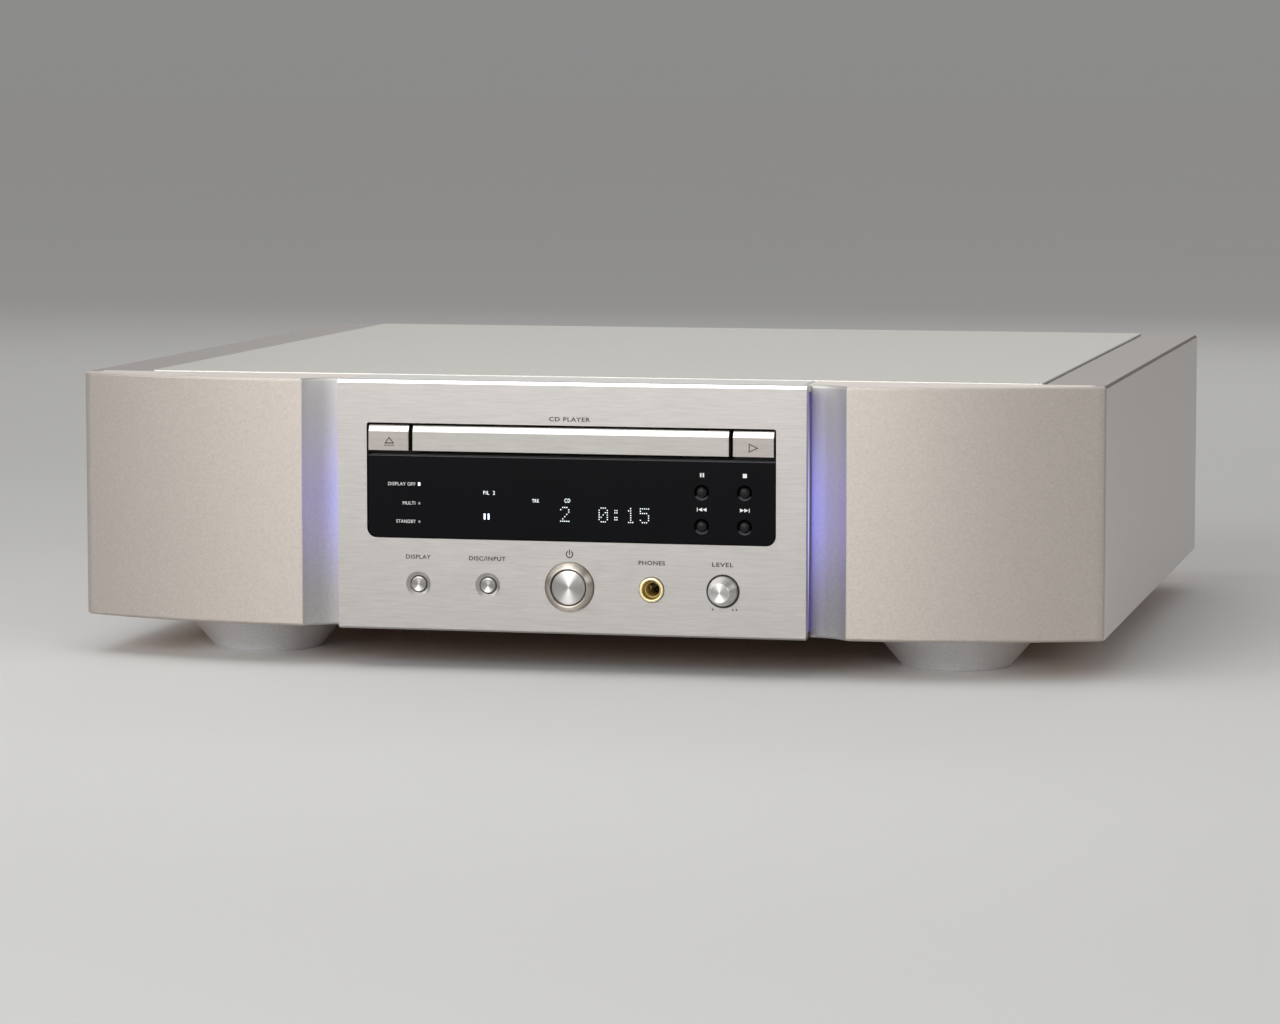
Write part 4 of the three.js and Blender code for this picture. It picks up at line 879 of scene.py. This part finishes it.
def phones():
    """Gold headphone socket: a lip, a cone and a deep bore with spring contacts."""
    profile = [(0, 31), (3.25, 31), (3.25, 1.9), (3.35, 1.4), (3.95, -0.75), (4.15, -1.05), (4.4, -1.1)]
    profile += [(4.85, -1.05), (5.1, -0.9), (5.2, -0.6), (5.2, 10.8), (7, 10.8), (7, 34), (0, 34)]
    sleeve = lathe(profile, *PHONES, segments=96)
    piece("phones_sleeve", sleeve, GOLD, replaces="phones_socket")
    lining("phones_throat", PHONES, 3, 3.22, 1.95, 14.9, 48, GOLD_SATIN)
    lining("phones_liner", PHONES, 3, 3.22, 15, 30.9, 48)
    x, z = PHONES
    for side, sign in SIDES:
        spring = block(x + sign * 2.35 - 0.25, x + sign * 2.35 + 0.25, 9, 20, z - 0.8, z + 0.8)
        piece("phones_contact_" + side, spring, GOLD, slot="gold_plate", edge=0.1)


def pointer_block(half_x, y0, y1, half_z, lift):
    """A block lift mm from the knob's axis, turned to where its pointer is."""
    part = block(-half_x, half_x, y0, y1, -half_z, half_z)
    turn = Matrix.Rotation(math.radians(45), 4, "Y")
    x, z = LEVEL
    for vert in part.verts:
        local = vert.co - at(0, 0, lift)
        vert.co = at(x, 0, z) + turn @ local
    return part


def knob():
    """Bell-shaped turned knob with a pointer notch at its foot, and a black ring of painted shade filling
    the gap round it.
    """
    profile = [(0, -4.6), (3.1, -4.6), (3.1, 1.6), (6.05, 1.6), (6.15, 1.45), (6.15, -0.7)]
    profile += [(6.05, -1.35), (5.88, -2.2), (5.5, -3.2), (5.12, -4.3), (4.85, -5.3), (4.62, -6.3)]
    profile += [(4.45, -7.1), (4.3, -7.6), (4.1, -7.87), (3.85, -8), (2.5, -7.88), (1.2, -7.75), (0, -7.7)]
    metal = spun_metal("knob_metal", LEVEL, color=(0.78, 0.765, 0.745))
    body = boolean(lathe(profile, *LEVEL, 96), [pointer_block(0.45, -1.4, 1.8, 1.1, 6.35)])
    piece("knob_shell", body, metal, body="knob", replaces="level_knob", edge=0.06)
    # Painted shade: a black ring filling the gap round the knob.
    lining("knob_gap_shade", LEVEL, 6.2, 7.03, 0.3, 1.95)
    mark = pointer_block(0.38, -1.25, 1.3, 0.1, 5.35)
    piece("knob_pointer", mark, BLACK_PRINT, body="knob", slot="black_plastic")


# Marks


CAPITAL_SHARE = 0.73


def text_mesh(name, words, x, z, height, width, y, look, align="CENTER", weight=0.0, turn=0):
    """Flat upright words, their capitals height mm tall and the whole width mm wide.

    They face the front, or with a turn of 180 degrees the rear."""
    curve = bpy.data.curves.new(name + "_text", "FONT")
    adjust(curve, body=words, align_x=align, space_character=1.12, size=height * MM / CAPITAL_SHARE)
    adjust(curve, extrude=0.02 * MM, offset=weight * MM)
    holder = link(name + "_holder", curve)
    graph = bpy.context.evaluated_depsgraph_get()
    mesh = bpy.data.meshes.new_from_object(holder.evaluated_get(graph))
    bpy.data.objects.remove(holder)
    bpy.data.curves.remove(curve)
    xs = [vert.co.x for vert in mesh.vertices]
    widen = width * MM / (max(xs) - min(xs))
    stand = Matrix.Rotation(math.radians(turn), 4, "Z") @ Matrix.Rotation(math.radians(90), 4, "X")
    mesh.transform(stand @ Matrix.Diagonal((widen, 1, 1, 1)))
    mesh.transform(Matrix.Translation(at(x, y, z - height / 2)))
    mesh.materials.clear()
    mesh.materials.append(look.material)
    thing = link(name, mesh)
    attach(thing, "cabinet")


def marks(name, outlines, y, look, body="cabinet", thick=0.04):
    """Flat marks from closed outlines, standing proud of y."""
    parts = [prism(outline, y - thick, y, xz_plane) for outline in outlines]
    piece(name, joined(*parts), look, body=body)


def stroke(a, b, width):
    """A bar from a to b, and half its width beyond each."""
    a, b = Vector(a), Vector(b)
    along = (b - a).normalized() * (width / 2)
    side = left_of(along) * (width / 2)
    spots = (a - along - side, b + along - side, b + along + side, a - along + side)
    return [tuple(spot) for spot in spots]


def polyline(points, width):
    """Bars along a closed polyline, overlapping at its corners."""
    return [stroke(a, b, width) for a, b in zip(points, points[1:] + points[:1])]


def panel_labels():
    """Dark function words over the controls, and the dots beside the knob."""
    words = {
        "display": ("DISPLAY", -65.3, 48.0, 10.8),
        "input": ("DISC/INPUT", -35.4, 47.9, 15.8),
        "phones": ("PHONES", 35.0, 47.7, 11.2),
        "level": ("LEVEL", 65.0, 47.7, 9.0),
        "player": ("CD PLAYER", 0, 106.8, 17.5),
    }
    for name, (text, x, z, width) in words.items():
        label = "label_" + name
        text_mesh(label, text, x, z, 1.8, width, -0.01, BLACK_PRINT, weight=0.05)
    dots = [circle(x, z, 0.36, 16) for x, z in ((60.9, 29.0), (69.3, 29.0), (70.9, 29.0))]
    marks("level_dots", dots, 0, BLACK_PRINT)
    power_symbol()


def power_symbol():
    x, z = POWER[0], 50.5
    arcs = arc(x, z, 1.35, 125, 415, 20)
    outlines = [stroke(a, b, 0.4) for a, b in zip(arcs, arcs[1:])]
    outlines.append(stroke((x, z), (x, z + 1.75), 0.4))
    marks("label_power", outlines, 0, BLACK_PRINT)


def rear_labels():
    """White words beside the connectors, each a name for what plugs in."""
    words = (
        ("outputs", "ANALOG OUT", 129, 86, 20),
        ("left", "L", 146, 58, 1.4),
        ("right", "R", 112, 58, 1.7),
        ("remote", "REMOTE", 62, 90, 12),
        ("remote_in", "IN", 74, 75, 2.6),
        ("remote_out", "OUT", 75, 51, 5),
        ("digital_out", "DIGITAL OUT", -23, 90, 21),
        ("digital_in", "DIGITAL IN", -23, 37, 18),
        ("usb", "USB", -66, 75, 5.6),
        ("mains", "AC IN", -172, 64, 9),
    )
    y = REAR + 0.01
    for name, text, x, z, width in words:
        text_mesh("rear_label_" + name, text, x, z, 2.2, width, y, GLOWING_WHITE_PRINT, turn=180)


def key_symbols():
    """Outlined symbols on the eject and play buttons, which move with them."""
    x, z = -77.6, 96.4
    up = polyline([(x - 1.75, z - 0.75), (x + 1.75, z - 0.75), (x, z + 1.5)], 0.36)
    up += polyline([(x - 1.9, z - 1.9), (x + 1.9, z - 1.9), (x + 1.9, z - 1.2), (x - 1.9, z - 1.2)], 0.2)
    marks("eject_symbol", up, 0, BLACK_PRINT, body="eject_key")
    x, z = 77.8, 96.2
    play = polyline([(x - 1.7, z - 1.6), (x + 1.8, z), (x - 1.7, z + 1.6)], 0.36)
    marks("play_symbol", play, 0, BLACK_PRINT, body="play_key")


def window_symbols():
    """White symbols over the four small keys."""
    y = WINDOW_FRONT
    x, z = centre_of("pause_button")[0] + 0.2, 84.6
    bars = [rectangle(x + dx - 0.3, x + dx + 0.3, z - 0.85, z + 0.85) for dx in (-0.55, 0.55)]
    marks("pause_symbol", bars, y, GLOWING_WHITE_PRINT)
    x = centre_of("stop_button")[0] + 0.1
    marks("stop_symbol", [rectangle(x - 0.85, x + 0.85, z - 0.85, z + 0.85)], y, GLOWING_WHITE_PRINT)
    z = 70.3
    for word, sign in (("previous", -1), ("next", 1)):
        x = centre_of(word + "_button")[0] + 0.1
        bar = sorted((x + sign * 1.75, x + sign * 2.05))
        shapes = [rectangle(*bar, z - 0.8, z + 0.8)]
        for foot, tip in ((-2.0, -0.3), (-0.2, 1.5)):
            shapes.append([(x + sign * foot, z - 0.8), (x + sign * tip, z), (x + sign * foot, z + 0.8)])
        marks(word + "_symbol", shapes, y, GLOWING_WHITE_PRINT)


DOT_ROWS = {
    "0": (".###.", "#...#", "#..##", "#.#.#", "##..#", "#...#", ".###."),
    "1": ("..#..", ".##..", "..#..", "..#..", "..#..", "..#..", ".###."),
    "2": (".###.", "#...#", "....#", "...#.", "..#..", ".#...", "#####"),
    "5": ("#####", "#....", "####.", "....#", "....#", "#...#", ".###."),
    ":": (".....", ".##..", ".##..", ".....", ".##..", ".##..", "....."),
}
DOT_PITCH = (0.87, 0.96)
FIGURE_PITCH = 5.85


def dot_figures(name, text, x, z):
    """Dot-matrix figures, the first one centred on x, all centred on z."""
    outlines = []
    for place, letter in enumerate(text):
        for row, dots in enumerate(DOT_ROWS[letter]):
            for column, dot in enumerate(dots):
                if dot == "#":
                    cx = x + place * FIGURE_PITCH + (column - 2) * DOT_PITCH[0]
                    outlines.append(circle(cx, z + (3 - row) * DOT_PITCH[1], 0.24, 10))
    marks(name, outlines, WINDOW_FRONT, DIGITS, thick=0.03)


def window_legends():
    """What the display shows: track number and running time, with its small captions."""
    captions = {
        "display_off": ("DISPLAY OFF", -66.4, 78.5, 1.45, 11.8, "RIGHT"),
        "multi": ("MULTI", -66.4, 70.5, 1.45, 5.4, "RIGHT"),
        "standby": ("STANDBY", -66.4, 62.8, 1.45, 8.4, "RIGHT"),
        "filter": ("FIL  2", -34.6, 75.5, 1.6, 5.0, "CENTER"),
        "track": ("TRK", -14.6, 72.5, 1.5, 3.0, "CENTER"),
        "source": ("CD", -1.0, 72.9, 1.7, 2.4, "CENTER"),
    }
    for name, (words, x, z, height, width, align) in captions.items():
        lit = DIGITS if align == "CENTER" else GLOWING_WHITE_PRINT
        y = WINDOW_FRONT - 0.02
        text_mesh("caption_" + name, words, x, z, height, width, y, lit, align=align)
    marks("lamp_display_off", [rectangle(-65.3, -64.3, 77.8, 79.2)], WINDOW_FRONT, DIGITS)
    lamps = [rectangle(-65.2, -64.4, z - 0.45, z + 0.45) for z in (70.4, 62.7)]
    marks("lamps_unlit", lamps, WINDOW_FRONT, DIM_LAMP)
    pause = [rectangle(-35.7 + dx - 0.4, -35.7 + dx + 0.4, 64.2, 66.7) for dx in (-0.85, 0.85)]
    marks("display_pause_mark", pause, WINDOW_FRONT, DIGITS)
    dot_figures("track_figure", "2", -2.1, 67.1)
    dot_figures("time_figures", "0:15", 14.3, 67.2)


# Case


def feet():
    """Cast conical feet with turned faces, a rolled lower edge and a felt pad."""
    profile = [(0, 0.5), (21.2, 0.5), (21.4, 0), (22.9, 0), (23.4, 0.22), (23.65, 0.75)]
    profile += [(34.0, 13.0), (34.5, 13.6), (34.9, 14.2), (35, 14.6), (35, 16.2), (34.7, 16.7), (0, 16.7)]
    pad = [(0, 0.05), (20.8, 0.05), (21.0, 0.2), (21.0, 0.48), (0, 0.48)]
    for name in FEET:
        x0, x1, y0, y1, _, _ = node_box(name)
        spot = ((x0 + x1) / 2, (y0 + y1) / 2)
        cone = lathe_up(profile, *spot, segments=128)
        piece(name + "_cone", cone, FOOT, replaces=name)
        piece(name + "_felt", lathe_up(pad, *spot, segments=64), FELT, slot="black_plastic")


def screw_head(name, place, radius, axis, look):
    """A pan head with a cross recess, facing along axis, standing on the surface at place."""
    height = radius * 0.42
    profile = [(0, 0), (radius * 0.5, 0), (radius * 0.85, height * 0.28), (radius, height * 0.75)]
    profile += [(radius, height), (0, height)]
    head = turned(profile, 32, lambda r, along, s, c: Vector((r * s, r * c, height - along)) * MM)
    arm = radius * 0.55
    wide = radius * 0.13
    bars = [rectangle(-u, u, -v, v) for u, v in ((arm, wide), (wide, arm))]
    cutters = [prism(bar, height * 0.5, height * 1.5, lambda *spot: Vector(spot) * MM) for bar in bars]
    head = boolean(head, cutters)
    turn = Vector(axis).to_track_quat("Z", "Y").to_matrix().to_4x4()
    for vert in head.verts:
        vert.co = at(*place) + turn @ vert.co
    piece(name, head, look, slot="inner_steel")


def case_screws():
    """Screws that hold the rear panel, the base and the side plates."""
    rear = [(-205, 110), (-205, 26), (205, 110), (205, 26), (-100, 113), (0, 113), (100, 113), (0, 26)]
    for i, (x, z) in enumerate(rear):
        screw_head(f"rear_screw_{i + 1}", (x, REAR, z), 3.2, (0, 1, 0), COPPER)
    under = [(-205, 60), (205, 60), (-205, 370), (205, 370), (0, 60), (0, 370), (-90, 200), (90, 200)]
    for i, (x, y) in enumerate(under):
        screw_head(f"base_screw_{i + 1}", (x, y, BODY_BOTTOM), 3.2, (0, 0, -1), COPPER)


def kept_nodes():
    """CAD solids shown as they are, with rounded edges and their own finish."""
    groups = {
        COVER: ["top_cover"],
        CASE: ["left_side_panel", "right_side_panel"],
        COPPER: ["chassis_base", "rear_panel"],
        GUIDE: ["left_light_guide", "right_light_guide"],
        DOOR_METAL: ["tray_door"],
        KEY_METAL: ["eject_button", "play_button"],
        GREY: ["power_switch", "loader_frame", "turntable", "optical_pickup"],
        BLACK: ["display_module", "disc_clamper"],
        NYLON: ["tray_drive_gear", "tray_pulley_gear", "loading_motor_pulley"],
        RUBBER: ["loading_belt"],
        ZINC: ["level_potentiometer", "clamp_bridge", "traverse_plate", "spindle_motor"],
        STEEL_ROD: ["sled_guide_rod", "sled_lead_screw", "sled_motor", "loading_motor"],
        CAN: ["power_transformer"],
        BOARD: ["key_board", "power_supply_board", "audio_board", "digital_board"],
    }
    for look, names in groups.items():
        for name in names:
            keep_node(name, look, edge=0.35 if look in (COVER, CASE) else 0.2)


def disc_tray():
    """Tray plate with a two-step disc well and a slot to the rear, and the rack under it."""
    x0, x1, y0, y1, low, top = node_box("disc_tray")
    plate_low = 93.5
    half = 20
    spindle = sum(node_box("turntable")[2:4]) / 2
    outline = [(x0, y0), (x1, y0), (x1, y1), (half, y1)]
    outline += arc(0, spindle, half, 0, -180, 28)
    outline += [(-half, y1), (x0, y1)]
    outer = [(0, 95.5), (60.2, 95.5), (60.5, 95.8), (60.5, 98), (61.1, 98.6), (61.1, 100), (0, 100)]
    inner = [(0, 94.7), (40.2, 94.7), (40.5, 95), (40.5, 95.1), (41.1, 95.6), (41.1, 97), (0, 97)]
    wells = [lathe_up(outer, 0, spindle, 128), lathe_up(inner, 0, spindle, 112)]
    plate = boolean(prism(outline, plate_low, top, xy_plane), wells)
    piece("tray_plate", plate, TRAY_BLACK, body="tray", replaces="disc_tray", edge=0.3)
    rack = prism(rack_outline(), low, plate_low + 0.1, xy_plane)
    piece("tray_rack", rack, TRAY_BLACK, body="tray", replaces="disc_tray")


def rack_outline():
    """Rack teeth that point towards the drive gear at x 45, with a gap opposite its centre."""
    module = 1.0
    step = math.pi * module
    start, end, back, face = 30, 194, 61, 57
    tooth_half = 0.21 * step
    add, ded, flank = 0.9 * module, 1.15 * module, math.tan(math.radians(20))
    tip = tooth_half - flank * add
    root = tooth_half + flank * ded
    tooth = ((face + ded, -root), (face - add, -tip), (face - add, tip), (face + ded, root))
    points = [(back, start), (face + ded, start)]
    middle = 40 + step * (math.ceil((start - 40) / step) + 0.5)
    while middle < end - step / 2:
        points += [(x, middle + along) for x, along in tooth]
        middle += step
    return points + [(face + ded, end), (back, end)]


# Rear connectors

LINE_JACKS = ((112, 72), (146, 72))
REMOTE_JACKS = ((62, 76), (62, 52))
COAX_JACKS = ((-8, 76), (-8, 52))
OPTICAL_PORTS = ((-38, 76), (-38, 52))
USB_PORT = (-66, 64)
INLET = centre_of("mains_inlet")


def phono(name, x, z, ring, replaced, metal):
    """A phono barrel through the rear panel: turned barrel, coloured insulator, centre contact."""
    root = REAR - 7
    collar = REAR + GAP
    end = node_box(replaced)[3]
    body = [(4.15, root), (5.6, root), (5.6, collar), (7.0, collar), (7.2, collar + 0.3)]
    body += [(7.2, collar + 2.3), (6.9, collar + 2.6), (4.3, collar + 2.6), (4.15, collar + 2.8)]
    body += [(4.15, end - 0.4), (4.0, end - 0.1), (3.75, end), (3.2, end), (3.2, root), (4.15, root)]
    piece(name + "_barrel", lathe(body, x, z, 64), metal, replaces=replaced, slot="gold_plate")
    core = [(0, root + 0.2), (3.15, root + 0.2), (3.15, end - 0.9), (1.75, end - 0.9), (1.6, end - 1.1)]
    core += [(1.6, end - 9), (0, end - 9)]
    insulated = lathe(core, x, z, 48)
    piece(name + "_insulator", insulated, ring, replaces=replaced, slot="black_plastic")


def jack_housing(name, replaced):
    x0, x1, y0, _, z0, z1 = node_box(replaced)
    body = block(x0, x1, y0, node_box("rear_panel")[2] - GAP, z0, z1)
    piece(name, body, BLACK, replaces=replaced, slot="black_plastic", edge=0.4)


def square_port(name, x, z, half_x, half_z, end, mouth, replaced):
    """A moulded port with a recessed mouth."""
    shell = block(x - half_x, x + half_x, REAR - 7, end, z - half_z, z + half_z)
    hole = block(x - mouth[0], x + mouth[0], REAR - 6, end + 1, z - mouth[1], z + mouth[1])
    piece(name + "_shell", boolean(shell, [hole]), BLACK, replaces=replaced, edge=0.25)


def rear_connectors():
    groups = (
        ("line_output", LINE_JACKS, "line_output_jacks", GOLD, (RED_RING, WHITE_RING)),
        ("remote", REMOTE_JACKS, "remote_jacks", ZINC, (GREY_RING, GREY_RING)),
        ("coaxial", COAX_JACKS, "digital_jacks", GOLD, (ORANGE_RING, ORANGE_RING)),
    )
    for name, spots, replaced, metal, rings in groups:
        for i, (x, z) in enumerate(spots):
            phono(f"{name}_{i + 1}", x, z, rings[i], replaced, metal)
        jack_housing(replaced.replace("_jacks", "_housing"), replaced)
    for i, (x, z) in enumerate(OPTICAL_PORTS):
        square_port(f"optical_{i + 1}", x, z, 7, 6.5, REAR + 2.4, (4.8, 4.5), "digital_jacks")
    x, z = USB_PORT
    square_port("usb", x, z, 6.2, 5.8, REAR + 1.2, (4.3, 4), "digital_jacks")
    tongue = block(x - 2.8, x + 2.8, REAR - 5.8, REAR - 0.5, z - 1.6, z + 1.6)
    piece("usb_tongue", tongue, WHITE_RING, replaces="digital_jacks", slot="grey_plastic", edge=0.15)
    mains_inlet()


def mains_inlet():
    """Three-pin inlet: flange with bevelled edges, keyed cavity and three blades."""
    x, z = INLET
    x0, x1, front, back, z0, z1 = node_box("mains_inlet")
    plate = soften(rectangle(x0, x1, z0, z1), 6, 6)
    flange = prism(plate, REAR + GAP, back, xz_plane, edge=0.6)
    body = block(x - 14, x + 14, front, REAR + 1, z - 10.3, z + 10.3)
    hole = [(x - 12, z - 8.2), (x + 12, z - 8.2), (x + 12, z + 4.7), (x + 8.5, z + 8.2)]
    hole += [(x - 8.5, z + 8.2), (x - 12, z + 4.7)]
    cavity = prism(hole, front + 5, back + 1, xz_plane)
    shell = boolean(boolean(flange, [body], "UNION"), [cavity])
    piece("inlet_shell", shell, BLACK, replaces="mains_inlet", edge=0.25)
    for i, (dx, dz) in enumerate(((-7, -1.5), (7, -1.5), (0, 3))):
        pin = block(x + dx - 1, x + dx + 1, front + 4.8, REAR - 2.2, z + dz - 2, z + dz + 2)
        name = f"inlet_pin_{i + 1}"
        piece(name, pin, ZINC, replaces="mains_inlet", slot="inner_steel", edge=0.3)
    for side, sign in SIDES:
        screw_head(f"inlet_screw_{side}", (x + sign * 20, back, z), 2.6, (0, 1, 0), ZINC)


center_panel()
cheeks()
inner_frame()
window_backing()
window()
small_keys()
spun_keys()
power_key()
phones()
knob()
panel_labels()
rear_labels()
key_symbols()
window_symbols()
window_legends()
feet()
case_screws()
kept_nodes()
disc_tray()
rear_connectors()

camera()
stage()
